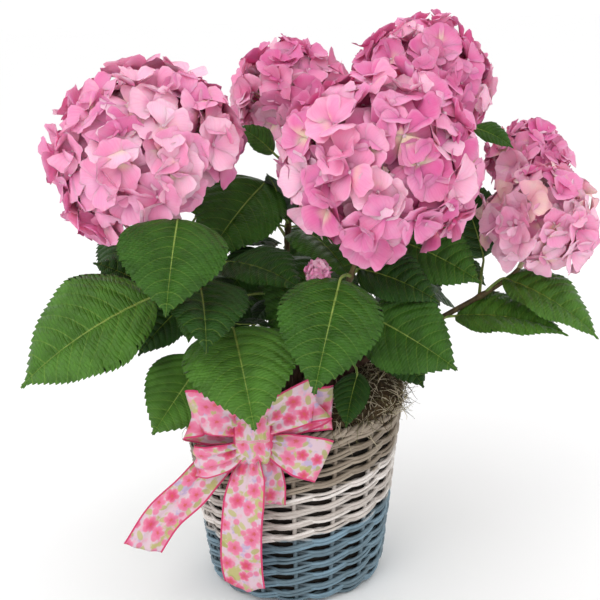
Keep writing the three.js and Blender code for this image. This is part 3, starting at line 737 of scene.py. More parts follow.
def veins_group():
    """Midrib, side veins and their net on a leaf, whose map is in side-vein spacings."""
    tree, given, give = new_tree("Leaf Veins", "Shader", [("Vector", "Vector")], [
        (label, "Float") for label in ("Midrib", "Side vein", "Net", "Height", "Mottle")])
    vector = given["Vector"]
    along, out, _ = split(vector)
    out = abs(out)
    waver = (speckle(vector, 0.9, 2.0) - 0.5) * 0.5
    phase = along - (out * VEIN_SLOPE + out ** 2.0 * VEIN_CURVE) + waver * 0.35
    away = calc("PINGPONG", phase, 0.5)
    vein = (1.0 - ramp(away, 0.0, ramp(out, 0.0, 3.4, 0.06, 0.022))) * ramp(out, 0.4, 3.6, 1.0, 0.45)
    width = ramp(along, 0.0, 8.5, 0.1, 0.025)
    rib = (1.0 - ramp(out, width * 0.3, width)) * ramp(along, 1.0, 8.5, 1.0, 0.4)
    rung = (along + out * 0.1) * 4.3 + waver * 4.5
    cells = wire(tree, "ShaderNodeTexVoronoi", {"Vector": vector, "Scale": 6.0}, "Distance",
                 feature="DISTANCE_TO_EDGE", voronoi_dimensions="2D")
    net = ramp(calc("PINGPONG", rung, 0.5), 0.0, 0.3) * ramp(cells, 0.0, 0.12, 0.55, 1.0)
    return give(rib, vein, net, net * 0.42 + ramp(away, 0.0, 0.42), speckle(vector, 0.5, 3.0))


def leaf_material(name, blade, vein, veins):
    finish, tree, shader = principled(name, 0.34, 0.22)
    found = placed_group(tree, veins, {"Vector": pattern_map(tree)})
    dark, light = tuple(c * 0.72 for c in blade), tuple(min(1, c * 1.16) for c in blade)
    colour = blend(ramp(found["Mottle"], 0.3, 0.7), dark, light)
    # Painted shade: darker along the net of fine veins, where the surface sinks in.
    colour = blend((1.0 - found["Net"]) * 0.22, colour, tuple(c * 0.55 for c in blade))
    colour = blend(found["Side vein"] * 0.45, colour, tuple(lerp(b, v, 0.42) for b, v in zip(blade, vein)))
    colour = blend(found["Midrib"] * 0.75, colour, vein)
    behind = wire(tree, "ShaderNodeNewGeometry", None, "Backfacing")
    coloured(shader, blend(behind, colour, tuple(lerp(b, 0.42, 0.3) for b in blade)))
    coloured(shader, ramp(found["Mottle"], 0.3, 0.7, 0.3, 0.46), "Roughness")
    bump(shader, found["Height"], 0.0012, 1.0)
    return finish


def blush_group():
    """Soft patches, fine rays and a paler rim on a sepal, deeper at its claw, and the bead in the floret's middle."""
    tree, given, give = new_tree("Sepal Blush", "Shader", [
        ("Vector", "Vector"), ("Place", "Vector"), ("Base", "Color", (0.8, 0.4, 0.6, 1)),
        ("Deep", "Color", (0.7, 0.2, 0.4, 1)), ("Pale", "Color", (0.9, 0.7, 0.8, 1)),
        ("Bead", "Color", (0.9, 0.8, 0.85, 1))], [("Color", "Color"), ("Height", "Float")])
    along, across, _ = split(given["Vector"])
    colour = blend(ramp(speckle(given["Place"], 38.0, 2.0), 0.35, 0.7, 0.0, 0.6), given["Base"], given["Pale"])
    colour = blend(ramp(along, 0.02, 0.5, 0.7, 0.0), colour, given["Deep"])
    colour = blend(ramp(calc("MAXIMUM", along, abs(across)), 0.72, 1.0, 0.0, 0.45), colour, given["Pale"])
    young = ramp(speckle(given["Place"], 24.0, 1.0), 0.56, 0.65)
    colour = blend(young * ramp(along, 0.05, 0.55, 0.85, 0.0), colour, "#f4e3bd")
    rays = speckle(vector_calc("MULTIPLY", given["Vector"], (1.3, 8.0, 1.0)), 1.0, 3.0, 0.6)
    colour = blend(ramp(rays, 0.4, 0.72, 0.0, 0.26), colour, given["Deep"])
    return give(blend(calc("LESS_THAN", along, -0.5), colour, given["Bead"]), rays)


def sepal_material(name, base, group, rim=None):
    """Petal-like finish of one tone, whose rim and patches pale unless they take a colour of their own."""
    finish, tree, shader = principled(name, 0.6, 0.22, Subsurface_Weight=0.4, Subsurface_Scale=0.008,
                                      Subsurface_Radius=(1.0, 0.35, 0.55))
    found = placed_group(tree, group, {
        "Vector": pattern_map(tree), "Place": object_place(tree), "Base": rgba(base),
        "Deep": (base[0] * 0.88, base[1] * 0.5, base[2] * 0.72, 1),
        "Pale": rgba(rim or [lerp(c, 1.0, 0.26) for c in base]), "Bead": rgba("#f3c4d8")})
    coloured(shader, found["Color"])
    bump(shader, found["Height"], 0.0006, 0.45)
    return finish


def wicker_material(settings):
    """Weavers in three dyes whose edges lie aslant, with painted shade where they pass behind a stake and on the
    stakes.
    """
    finish, tree, shader = principled("dyed_wicker", 0.55, 0.4)
    place = object_place(tree)
    x, _, z = split(place)
    tone, sunk = (wire(tree, "ShaderNodeAttribute", None, "Fac", attribute_name=name) for name in ("tone", "sunk"))
    rise = z + speckle(place, 60.0, 2.0) * 0.008 + tone * 0.004

    def dip(height, slant, bend):
        return ramp(rise - (x * slant + height + x * x * bend), -0.002, 0.002)

    white = blend(dip(0.0715, 0.15, 0.0), tuple(settings.blue), tuple(settings.white))
    dyed = blend(dip(0.1145, 0.1, 0.9), white, tuple(settings.natural))
    streaks = placed_group(tree, LIBRARY["grain"], {
        "Vector": place, "Stretch": (160.0, 160.0, 1500.0), "Dark": (0.6, 0.57, 0.55, 1.0),
        "Light": (1.0, 1.0, 1.0, 1.0)})
    colour = blend(0.85, dyed, streaks["Color"], "MULTIPLY")
    colour = blend(0.8, colour, blend(ramp(tone, 0.0, 1.0), (0.6, 0.57, 0.54), (1.0, 1.0, 1.0)), "MULTIPLY")
    # Painted shade: darker brown where a weaver runs in behind a stake, and a fixed share of it on the stakes.
    coloured(shader, blend(ramp(sunk, 0.3, 1.0, 0.0, 0.55), colour, "#2a211a"))
    bump(shader, streaks["Height"], 0.0004, 0.5)
    return finish


def grain_material(name, dark, light, stretch, roughness=0.8, depth=0.0006, specular=0.3):
    """A matte material of two colours in fibres and patches."""
    finish, tree, shader = principled(name, roughness, specular)
    found = placed_group(tree, LIBRARY["grain"], {
        "Vector": object_place(tree), "Stretch": stretch, "Dark": rgba(dark), "Light": rgba(light)})
    coloured(shader, found["Color"])
    bump(shader, found["Height"], depth, 0.6)
    return finish


def print_group():
    """A generic print of five-petalled flowers, small leaves and dots, on a map in millimetres."""
    tree, given, give = new_tree("Floral Print", "Shader", [
        ("Vector", "Vector"), ("Motif", "Float", 13.0), ("Ground", "Color", (0.9, 0.85, 0.9, 1)),
        ("Flower", "Color", (0.8, 0.2, 0.4, 1))], [("Color", "Color")])
    vector = given["Vector"]

    def motif(step, shift):
        """Local x, y and distance from the nearest motif's middle, and its own random colour."""
        moved = vector_calc("ADD", vector, shift)
        cell = add(tree, "ShaderNodeTexVoronoi", {"Vector": moved, "Scale": 1.0 / step, "Randomness": 0.75},
                   voronoi_dimensions="2D").outputs
        local = vector_calc("SUBTRACT", moved, Wire(cell["Position"]))
        return split(local), vector_calc("LENGTH", local, output="Value"), split(Wire(cell["Color"]))

    colour = given["Ground"]
    for scale, shift, low, high, tint in ((0.07, (0.0, 0.0, 9.0), 0.5, 0.66, "#e493ad"),
                                          (0.09, (5.0, 0.0, 31.0), 0.54, 0.64, "#bba6c8"),
                                          (0.08, (0.0, 8.0, 57.0), 0.52, 0.63, "#b9b274")):
        wash = speckle(vector_calc("ADD", vector, shift), scale, 3.0)
        colour = blend(ramp(wash, low, high), colour, tint)
    (x, y, _), away, own = motif(given["Motif"] * 0.62, (37.0, 11.0, 0.0))
    turn = own[1] * 6.283
    cosine, sine = calc("COSINE", turn), calc("SINE", turn)
    oval = ((x * cosine + y * sine) / 5.2) ** 2.0 + ((y * cosine - x * sine) / 2.7) ** 2.0
    sprig = ramp(oval, 0.5, 1.1, 0.85, 0.0) * calc("GREATER_THAN", own[0], 0.5)
    colour = blend(sprig, colour, blend(own[2], "#a0a158", "#beb878"))
    dot = ramp(away, 2.2, 3.6, 0.8, 0.0) * calc("LESS_THAN", own[0], 0.35)
    colour = blend(dot, colour, "#de6892")
    (x, y, _), away, own = motif(given["Motif"], (0.0, 0.0, 0.0))
    angle = calc("ARCTAN2", y, x) + own[0] * 6.283
    lobe = abs(calc("COSINE", angle * 2.5))
    reach = (0.72 + lobe * 0.28) * (5.8 + own[1] * 2.8)
    share = away / reach + (speckle(vector, 0.35, 3.0) - 0.5) * 0.5
    petal = blend(ramp(own[2], 0.25, 0.6), given["Flower"], "#dd6690")
    petal = blend(ramp(share, 0.35, 0.95, 0.0, 0.7), petal, "#e489a8")
    petal = blend(ramp(share, 0.12, 0.34, 0.8, 0.0), petal, "#c84634")
    return give(blend(ramp(share, 0.84, 1.06, 0.95, 0.0), colour, petal))


def ribbon_material(settings):
    finish, tree, shader = principled("printed_ribbon", 0.48, 0.4, Sheen_Weight=0.1)
    pattern = pattern_map(tree)
    found = placed_group(tree, print_group(), {"Vector": pattern, "Motif": settings.motif,
                                               "Ground": rgba(settings.ground), "Flower": rgba(settings.flower)})
    along, across, _ = split(pattern)
    half = settings.width / 2
    coloured(shader, blend(ramp(abs(across), half - 1.5, half - 1.1), found["Color"], tuple(settings.edge)))
    bump(shader, calc("SINE", along * 12.0), 0.00012, 0.4)
    return finish


# ---------------------------------------------------------------- leaves by the stems' rule


def leaf_frame(leaf):
    """Along the midrib, to its right, and out of its upper face."""
    along = direction(leaf["turn"], leaf["pitch"])
    level = unit(np.cross(along, (0, 0, 1)))
    raised = np.cross(level, along)
    roll = math.radians(leaf["roll"])
    return along, level * math.cos(roll) + raised * math.sin(roll), raised * math.cos(roll) - level * math.sin(roll)


def midrib(leaf, shares):
    """Points of the midrib, which arches over its chord."""
    along, _, face = leaf_frame(leaf)
    pieces = 12
    found = []
    for share in np.atleast_1d(shares):
        angles = np.radians(LEAF["droop"] * (0.5 - ((np.arange(pieces) + 0.5) / pieces) * share))
        step = leaf["length"] * share / pieces
        found.append(leaf["base"] + along * step * np.cos(angles).sum() + face * step * np.sin(angles).sum())
    return np.array(found)


def ruled_leaf(root, pair_turn, random, attempt):
    """One leaf of an opposite pair, by the seeded rule."""

    def scatter(span):
        return span * (random() * 2 - 1) * (1 + attempt * 0.4)

    turn = pair_turn + scatter(LEAF_RULE["turn"])
    pitch = lerp(*LEAF_RULE["pitch"], random())
    pitch += scatter(attempt * 4)
    base = root + direction(turn, pitch + LEAF_RULE["rise"]) * LEAF_RULE["petiole"]
    length = lerp(*LEAF_RULE["length"], random())
    return {"root": root, "base": base, "turn": turn, "pitch": pitch, "length": length,
            "roll": scatter(LEAF_RULE["roll"]), "aspect": LEAF["aspect"]}


def floret_count(stem, spacing):
    """How many florets a dome's rule deals at a spacing, and their size."""
    size = FLORET["radius"] * lerp(0.8, 1, min(1, (stem["radius"] - 38) / 44))
    lowest = math.cos(math.radians(DOME["lowest"]))
    area = 2 * math.pi * (1 - lowest) * stem["radius"] ** 2
    return math.floor(area / spacing ** 2 / (size / FLORET["radius"]) ** 2 + 0.5), size


def grows(leaf, solid):
    """Whether the plant's solids hold this leaf: the rule dropped those that would have touched."""
    spots = midrib(leaf, [0.38, 0.72, 0.95]) * MM
    return all(solid.find_nearest(Vector(spot))[3] < HELD * MM for spot in spots)


def leaves_of(name, stem, index):
    """Every leaf of a stem, placed and by rule."""
    path, fork, head = spine_of(stem)
    leaves = []
    for share, x, y, z, *measures in stem["leaves"]:
        leaves.append({"root": path.at(lerp(fork, head, share)), "base": np.array([x, y, z], float), "share": share,
                       **dict(zip(("turn", "pitch", "length", "roll", "aspect", "tone"), measures))})
    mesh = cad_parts[f"leaves_{name}"].data
    solid = BVHTree.FromPolygons([v.co for v in mesh.vertices], [p.vertices for p in mesh.polygons])
    random = random_from(SEED + index)
    for _ in range(8 * floret_count(stem, FLORET["spacing"])[0]):
        random()
    for share, first_turn in stem["pairs"]:
        root = path.at(lerp(fork, head, share))
        for pair_turn in (first_turn, first_turn + 180):
            for attempt in range(LEAF_RULE["tries"]):
                leaf = ruled_leaf(root, pair_turn, random, attempt)
                if grows(leaf, solid):
                    leaves.append({**leaf, "tone": len(leaves) % 3 % 2, "share": share})
                    break
    for k, share in enumerate(YOUNG_LEAF["shares"] if stem["pairs"] else ()):
        root = path.at(lerp(fork, head, share))
        for pair_turn in (index * 50 + k * 77, index * 50 + k * 77 + 180):
            leaf = ruled_leaf(root, pair_turn, random, 0)
            stalk = direction(leaf["turn"], leaf["pitch"] + LEAF_RULE["rise"]) * YOUNG_LEAF["petiole"]
            leaves.append({**leaf, "base": root + stalk, "length": lerp(*YOUNG_LEAF["length"], random()),
                           "tone": k % 2, "share": share, "stalk": 0.55})
    return leaves


def half_width(share):
    """Half of a blade's outline, as a share of its widest."""
    share = np.asarray(share, float)
    widest = LEAF["widest"]
    base = np.sin(np.pi / 2 * np.clip(share / widest, 0, 1) ** 0.62)
    past = np.clip((share - widest) / (1 - widest), 0, 1)
    tip = np.maximum(np.cos(np.pi / 2 * np.minimum(past / 0.93, 1)) ** 1.02, 0.11 * (1 - past) ** 0.45)
    return np.where(share < widest, base, tip)


def add_blade(patchwork, leaf, settings, wave):
    """A toothed blade, quilted between its side veins, with a map in side-vein spacings."""
    along, side, face = leaf_frame(leaf)
    length = leaf["length"]
    half = length * leaf["aspect"] / 2
    teeth = max(8, round(length * 0.9 / settings.tooth))
    starts = TEETH["start"] + TEETH["run"] * np.arange(teeth)[:, None] / teeth
    rises = starts + TEETH["run"] / teeth * np.array(TEETH["rise"])
    rows = np.concatenate([[0.0, 0.02, 0.045], rises.ravel(), [0.985, 1.0]])
    bite = np.concatenate([[0, 0, 0], np.tile(TEETH["bite"], teeth), [0, 0]])
    columns = np.array([0, 0.07, 0.16, 0.28, 0.41, 0.55, 0.7, 0.85, 1.0])
    columns = np.concatenate([-columns[:0:-1], columns])
    shape = half_width(rows)
    middle = midrib(leaf, rows)
    v = columns[None, :]
    spacing = length / (settings.vein_pairs + 1)
    away = np.abs(v) * (shape * half)[:, None]
    phase = (rows[:, None] * length - VEIN_SLOPE * away - VEIN_CURVE * away ** 2 / spacing) / spacing
    big = length / 100
    swell = settings.quilting * big * np.abs(np.sin(np.pi * phase)) ** 0.8
    swell *= np.clip(np.abs(v) / 0.12, 0, 1) * (1 - 0.55 * np.abs(v) ** 3) * np.clip(shape[:, None] * 1.6, 0, 1)
    rib = -0.7 * big * np.exp(-(away / 1.8) ** 2)
    arch = LEAF["arch"] * half * np.sin(np.pi * np.abs(v)) * shape[:, None]
    ripple = np.sin(2 * np.pi * (rows[:, None] * 2.6 + wave + 0.23 * np.sign(v))) * np.abs(v) ** 3
    ripple *= LEAF["ripple"] * big
    lift = away * math.sin(math.radians(LEAF["fold"])) - 0.05 * half * v ** 4
    height = swell + rib + arch + ripple * shape[:, None] + lift
    edge = np.clip((np.abs(v) - 0.86) / 0.14, 0, 1)
    nick = (bite * (1.5 + 0.8 * shape) * big)[:, None] * edge
    grid = (middle[:, None, :] + side * (v * (shape * half)[:, None] + np.sign(v) * nick * 0.75)[..., None]
            + along * (nick * 0.75)[..., None] + face * height[..., None])
    pattern = np.stack([np.broadcast_to(rows[:, None] * length / spacing, away.shape), np.sign(v) * away / spacing],
                       -1)
    patchwork.add(grid, pattern, leaf["tone"])


def petiole_paths(leaf, rng):
    """A leaf's stalk, which runs on under its blade as the midrib."""
    root, base = leaf["root"], leaf["base"]
    middle = lerp(root, base, 0.5) + (0, 0, np.linalg.norm(base - root) * 0.06)
    ribs = np.linspace(0.1, 0.9, 7)
    below = midrib(leaf, ribs) - leaf_frame(leaf)[2] * 0.95
    line = np.vstack([bent([root, middle, base, midrib(leaf, [0.04])[0]], 9), below])
    stalk = np.linspace(LEAF["petiole"] * 1.15, LEAF["petiole"] * 0.72, 9)
    return line, np.concatenate([stalk, lerp(1.15, 0.25, ribs)]) * leaf.get("stalk", 0.82), rng.random(), False


# ---------------------------------------------------------------- flower domes


class Dome:
    """A dome's own axes and its surface, flattened below."""

    def __init__(self, stem):
        self.axis = unit((*stem["lean"], 1))
        self.side = unit(np.cross((0, 1, 0), self.axis))
        self.other = np.cross(self.axis, self.side)
        self.middle = np.array(stem["centre"], float)
        self.radius = stem["radius"]
        self.flatness = stem.get("flatness", DOME["flatness"])

    def spread(self, polar, turn):
        """From the dome's middle to its surface of radius 1, at an angle off its axis and a turn round it."""
        flat = self.flatness if math.cos(polar) < 0 else 1
        return (self.axis * math.cos(polar) * flat + self.side * math.sin(polar) * math.cos(turn)
                + self.other * math.sin(polar) * math.sin(turn))


def florets_of(name, stem, index, settings):
    """Rows of (place, outward, size, spin, tone) by the dome's rule, more and finer than on its solid."""
    random = random_from(SEED + 100 + index)
    dome = Dome(stem)
    number, size = floret_count(stem, settings.spacing)
    lowest = math.cos(math.radians(DOME["lowest"]))
    others = [Dome(other) for label, other in STEMS.items() if label != name]
    weights = np.cumsum(stem["mix"]) / sum(stem["mix"])
    found = []
    for share, low, high, scale in LAYERS:
        count = round(number * share)
        for i in range(count):
            polar = math.acos(lerp(1, lowest, (i + 0.5) / count))
            turn = i * GOLDEN_TURN + (random() - 0.5) * 0.5
            direct = dome.spread(polar, turn)
            place = dome.middle + direct * dome.radius * lerp(low, high, random())
            axis = unit(np.array([random(), random(), random()]) - 0.5)
            tilt = math.radians(settings.tilt) * (random() * 2 - 1)
            outward = Quaternion(Vector(axis), tilt) @ Vector(unit(direct))
            grown_size = size * lerp(0.9, 1.05, random()) * scale / FLORET["radius"]
            spin = random() * math.pi
            tone = int(np.searchsorted(weights, random()))
            if all(np.linalg.norm(place - other.middle) > other.radius * 0.9 for other in others):
                found.append((place, outward, grown_size, spin, min(tone, 4)))
    return found


def sepal(patchwork, turn, height, pitch, roll, curl, cup, broad, wave):
    """One sepal of a floret that faces +Z, with a map from claw to tip and from side to side."""
    u = np.array([0.03, 0.2, 0.44, 0.7, 0.9, 0.99])[:, None]
    half = np.array([0.06, 0.27, 0.48, 0.56, 0.44, 0.2])[:, None] * broad
    v = np.linspace(-1, 1, 4)[None, :]
    x = u - 0.11 * v ** 2 * np.clip(u - 0.5, 0, 1) * 2
    y = half * v
    z = height + curl * u ** 2 + cup * v ** 2 * half + 0.05 * np.sin(2.6 * v + wave) * u
    y, z = y * math.cos(roll), z + y * math.sin(roll)
    x, z = x * math.cos(pitch) - z * math.sin(pitch), x * math.sin(pitch) + z * math.cos(pitch)
    grid = np.stack([x * math.cos(turn) - y * math.sin(turn), x * math.sin(turn) + y * math.cos(turn), z], -1)
    pattern = np.stack([np.broadcast_to(u, x.shape), np.broadcast_to(v, x.shape)], -1)
    patchwork.add(grid * FLORET["radius"], pattern)


def floret_mesh(name, random, openness):
    """A floret of four lapping sepals round a small bead, from half closed at openness 0 to flat at 1."""
    patchwork = Patchwork()
    lift = lerp(42, 6, openness)
    for k in range(4):
        sepal(patchwork, k * math.pi / 2 + (random() - 0.5) * 0.3, 0.045 * (k % 2) + 0.012 * k,
              math.radians(lift + lerp(-12, 15, random())), math.radians(lerp(-22, 22, random())),
              lerp(-0.34, 0.1, random()), lerp(-0.3, 0.55, random()), lerp(0.95, 1.1, random()), random() * 6)
    levels = np.array([0.0, 0.06, 0.1])
    rounds = np.array([0.075, 0.075, 0.012])
    bead = wheel(rounds[:, None], turns(5), levels[:, None] + 0.03)
    patchwork.add(bead * FLORET["radius"], np.array([-1.0, 0.0]), around=True)
    return patchwork.mesh(name)


def points_mesh(name, florets):
    """Points that carry each floret's facing, size and tone."""
    made = bpy.data.meshes.new(name)
    places, outwards, sizes, spins, tones = zip(*florets)
    made.from_pydata([tuple(place * MM) for place in places], [], [])
    facings = [(Vector(outward).to_track_quat("Z", "Y") @ Quaternion((0, 0, 1), spin)).to_euler()
               for outward, spin in zip(outwards, spins)]
    for label, kind, values in (("facing", "FLOAT_VECTOR", np.ravel(facings)), ("size", "FLOAT", sizes),
                                ("tone", "INT", tones)):
        data = made.attributes.new(label, kind, "POINT").data
        data.foreach_set("vector" if label == "facing" else "value", values)
    return made


def flower_stalks(stem, florets, rng):
    """The branching stalks inside a dome, out to the back of each floret."""
    dome = Dome(stem)
    path, _, head = spine_of(stem)
    hub = dome.middle - dome.axis * dome.radius * DOME["hub"]
    start = path.at(head)
    paths = [(bent([start, lerp(start, hub, 0.55), hub], 6), np.linspace(SHOOT_TIP * 1.1, SHOOT_TIP * 0.9, 6), 0.5,
              False)]
    arms = []
    for k in range(DOME["arms"] + 1):
        reach = dome.spread(math.radians(DOME["arm_lean"] if k else 4), k * 2 * math.pi / DOME["arms"])
        arm = hub + reach * dome.radius * DOME["arm_reach"]
        arms.append(arm)
        bow = bent([hub, lerp(hub, arm, 0.5) - dome.axis * 2.5, arm], 5)
        paths.append((bow, np.linspace(1.7, 1.2, 5), rng.random(), False))
    for place, outward, size, _, _ in florets:
        back = place - np.array(outward) * 1.5
        arm = min(arms, key=lambda spot: np.linalg.norm(spot - back))
        elbow = lerp(arm, back, 0.6) - np.array(outward) * size * 5
        paths.append((bent([arm, elbow, back], 5), np.linspace(0.85, 0.55, 5), rng.random(), False))
    return paths


# ---------------------------------------------------------------- basket


def basket_profile(inset):
    """Radius and height along the basket's side, from the middle of its bottom to the rim, inset from its face."""
    bottom = np.linspace(0, BASKET["foot"], PROFILE["bottom"], endpoint=False)
    hip = np.linspace(0, math.pi / 2, PROFILE["hip"])
    side = np.linspace(0, 1, PROFILE["side"] + 1)[1:]
    radius = np.concatenate([bottom, lerp(BASKET["foot"], BASKET["hip"], np.sin(hip)),
                             lerp(BASKET["hip"], BASKET["rim"], side)])
    height = np.concatenate([bottom * 0, BASKET["hip_height"] * (1 - np.cos(hip)),
                             lerp(BASKET["hip_height"], BASKET["height"], side)])
    tangent = unit(np.gradient(np.stack([radius, height], -1), axis=0))
    outward = np.stack([tangent[:, 1], -tangent[:, 0]], -1)
    radius, height = radius - outward[:, 0] * inset, height - outward[:, 1] * inset
    lengths = np.concatenate([[0], np.cumsum(np.hypot(np.diff(radius), np.diff(height)))])
    return lengths, radius, height, outward


def on_profile(profile, length):
    """Radius, height and outward direction at a length along a profile."""
    lengths, radius, height, outward = profile
    return (np.interp(length, lengths, radius), np.interp(length, lengths, height),
            np.stack([np.interp(length, lengths, outward[:, 0]), np.interp(length, lengths, outward[:, 1])], -1))


def weaver_paths(settings, rng):
    """Pairs of weavers that pass outside and inside the stakes by turns, up the side and across the bottom."""
    profile = basket_profile(settings.rod + settings.swing - PROUD)
    lengths, _, heights, _ = (row[PROFILE["bottom"] + 1:] for row in profile)
    hip = np.interp(BASKET["hip_height"], heights, lengths)
    pitch = (lengths[-1] - hip) / settings.rows
    lowest = -int((hip - 12) / pitch)
    paths = []
    for row in range(lowest, settings.rows - 1):
        for rod in (-0.5, 0.5):
            radius, height, outward = on_profile(profile, hip + (row + 0.5) * pitch + rod * settings.rod * 1.9)
            samples = 128 if radius > 60 else 64
            turn = turns(samples)
            wander = rng.normal(0, WANDER["size"], (2, WANDER["waves"]))
            drift = sum(wander[0, k] * np.cos(turn * k + k) for k in range(WANDER["waves"]))
            lift = sum(wander[1, k] * np.sin(turn * k + k * 2) for k in range(WANDER["waves"]))
            depth = settings.swing * (1 if radius > BOTTOM_EDGE else 0.5)
            wave = np.cos(turn * settings.stakes / 2 + math.pi * (row % 2))
            wave = np.sign(wave) * np.abs(wave) ** 0.75
            slant = settings.slant * np.sin(turn * settings.stakes / 2 + math.pi * (row % 2)) * min(1, radius / 80)
            swing = depth * wave + drift * 0.35
            if radius < BOTTOM_EDGE:
                swing = np.maximum(swing, -depth) - 0.3
            ring = radius + outward[0] * swing
            z = height + outward[1] * swing + lift * 0.8 * min(1, radius / 90) + slant * outward[0]
            line = wheel(ring, turn, np.maximum(z, settings.rod + 0.05))
            thick = settings.rod * lerp(0.78, 1.04, rng.random()) * (1 + 0.07 * np.sin(turn * 3 + row))
            # The last value is the rod's painted shade, most where it runs in behind a stake.
            paths.append((line, thick, rng.random(), True, -wave))
    return paths


def stake_paths(settings, rng):
    """Upright rods from the bottom to the rim."""
    profile = basket_profile(settings.rod + settings.swing - PROUD)
    radius, height, _ = on_profile(profile, np.linspace(STAKE["foot"], profile[0][-1] - STAKE["below_rim"], 34))
    # Each stake takes the same painted shade.
    return [(wheel(radius, turn, np.maximum(height, STAKE["lowest"])), STAKE["radius"], rng.random() * 0.6, False,
             STAKE["sunk"]) for turn in turns(settings.stakes)]


def rim_paths(rng):
    """Strands twisted along the rim."""
    turn = turns(240)
    paths = []
    for strand in range(RIM["strands"]):
        twist = turn * RIM["twists"] + strand * 2 * math.pi / RIM["strands"]
        ring = BASKET["rim"] - RIM["inset"] + RIM["coil"] * np.cos(twist)
        z = BASKET["height"] - RIM["drop"] + RIM["coil"] * np.sin(twist)
        paths.append((wheel(ring, turn, z), RIM["radius"], rng.random(), True))
    return paths


# ---------------------------------------------------------------- ribbon


def ribbon_piece(patchwork, row, settings, wave, start):
    """A length of wired ribbon on its path, gathered where it is pinched, closed and about 0.3 mm thick."""
    lie, reach, points = row
    points = np.array(points, float)
    path = Path(points[:, :3] + KNOT["centre"])
    shares = np.linspace(0, 1, max(12, round(path.total / 2.4)) + 1)
    full = np.interp(path.knot_at(shares), np.arange(len(points)), points[:, 3])
    middle, tangent = path.at(shares), path.tangent(shares)
    wide = unit(lie)
    level = unit(wide - tangent * (tangent @ wide)[:, None])
    out = np.cross(level, tangent)
    v = np.linspace(-1, 1, 21)
    gather = np.clip(1 - full, 0, 1)[:, None]
    pleats = gather * FOLDS["pleat"] * np.cos(v * math.pi * 2.5 + wave) * (1 - 0.3 * np.abs(v))
    belly = FOLDS["belly"] * np.sin(shares * math.pi * 3 + wave)[:, None] * v ** 2 * (1 - gather)
    crease = FOLDS["crease"] * np.sin(shares * path.total / 7 + v[:, None] * 2.2 + wave).T * (0.4 + gather)
    cut = np.interp(v, [-1, 0, 1], reach) * (np.clip((shares - 0.5) / 0.5, 0, 1) ** 1.6)[:, None]
    half = settings.width / 2
    sheet = (middle[:, None] + level[:, None] * (full[:, None] * half * v)[..., None]
             + out[:, None] * (pleats + belly + crease)[..., None] + tangent[:, None] * cut[..., None])
    rows, columns = np.gradient(sheet, axis=0), np.gradient(sheet, axis=1)
    normal = unit(np.cross(columns, rows))
    grid = np.concatenate([sheet + normal * RIBBON_HALF, (sheet - normal * RIBBON_HALF)[:, ::-1]], 1)
    along = np.broadcast_to((shares * path.total + start)[:, None], sheet.shape[:2])
    flat = np.stack([along + cut, np.broadcast_to(half * v, sheet.shape[:2])], -1)
    patchwork.add(grid, np.concatenate([flat, flat[:, ::-1]], 1), around=True, caps=True)
    return sheet[:, 0], sheet[:, -1]


def knot_piece(patchwork, settings):
    """The folded band over the pinch, with soft pleats across it."""
    x = np.linspace(-1, 1, 25)
    around = turns(56)
    size = np.array(KNOT["size"]) / 2
    end = (1 - np.abs(x) ** 6 * 0.999) ** 0.5
    pleat = 1 + 0.05 * np.cos(x * 9.5 + 0.6) + 0.02 * np.sin(x * 21)
    wobble = 1 + 0.03 * np.sin(around * 3 + 1)[None, :] * np.cos(x * 4)[:, None]
    ring = (end * np.minimum(pleat, 1.03))[:, None] * np.minimum(wobble, 1.02)
    square = (np.abs(np.cos(around)) ** 3 + np.abs(np.sin(around)) ** 3) ** (-1 / 3)
    grid = np.stack([np.broadcast_to((x * size[0])[:, None], ring.shape),
                     -ring * size[1] * np.cos(around) * np.minimum(square, 1.05),
                     ring * size[2] * np.sin(around) * np.minimum(square, 1.05)], -1)
    pattern = np.stack([np.broadcast_to(around * 20, ring.shape),
                        np.broadcast_to((x * settings.width / 2 * 1.12)[:, None], ring.shape)], -1)
    patchwork.add(grid * 0.97 + KNOT["centre"], pattern, around=True, caps=True)


# ---------------------------------------------------------------- operators


class MakeBasket(bpy.types.Operator):
    """Weave the basket with its stakes and rim, and a near-black sheet inside it as painted shade behind the weave"""

    bl_idname = "hydrangea.basket"
    bl_label = "Basket"

    def execute(self, context):
        settings = context.scene.hydrangea_basket
        rng = np.random.default_rng(SEED)
        wicker = wicker_material(settings)
        for name, paths, sides, replaces in (
                ("basket_weave", weaver_paths(settings, rng), 6, ["basket_wall"]),
                ("basket_stakes", stake_paths(settings, rng), 8, ()), ("basket_rim", rim_paths(rng), 7, ())):
            piece(name, rods(name, paths, sides, wicker), replaces=replaces)
        # A near-black sheet just inside the weave: painted shade that shows through the gaps between weavers.
        shade_sheet = Patchwork()
        faces = []
        for inset, lowest, step in ((5.9, 4.2, 1), (6.4, 4.8, -1)):
            _, ring, level, _ = basket_profile(inset)
            level = np.clip(level, lowest, BASKET["height"] - 6)
            faces.append(np.stack([np.maximum(ring, 0.4), level])[:, ::step])
        radius, height = np.hstack(faces)[..., None]
        shade_sheet.add(wheel(radius, turns(64), height), around=True)
        dark = grain_material("dark_lining", "#15110e", "#2c241d", (90.0, 90.0, 90.0), 0.7, 0.0003)
        piece("basket_lining", shade_sheet, [dark])
        return {"FINISHED"}


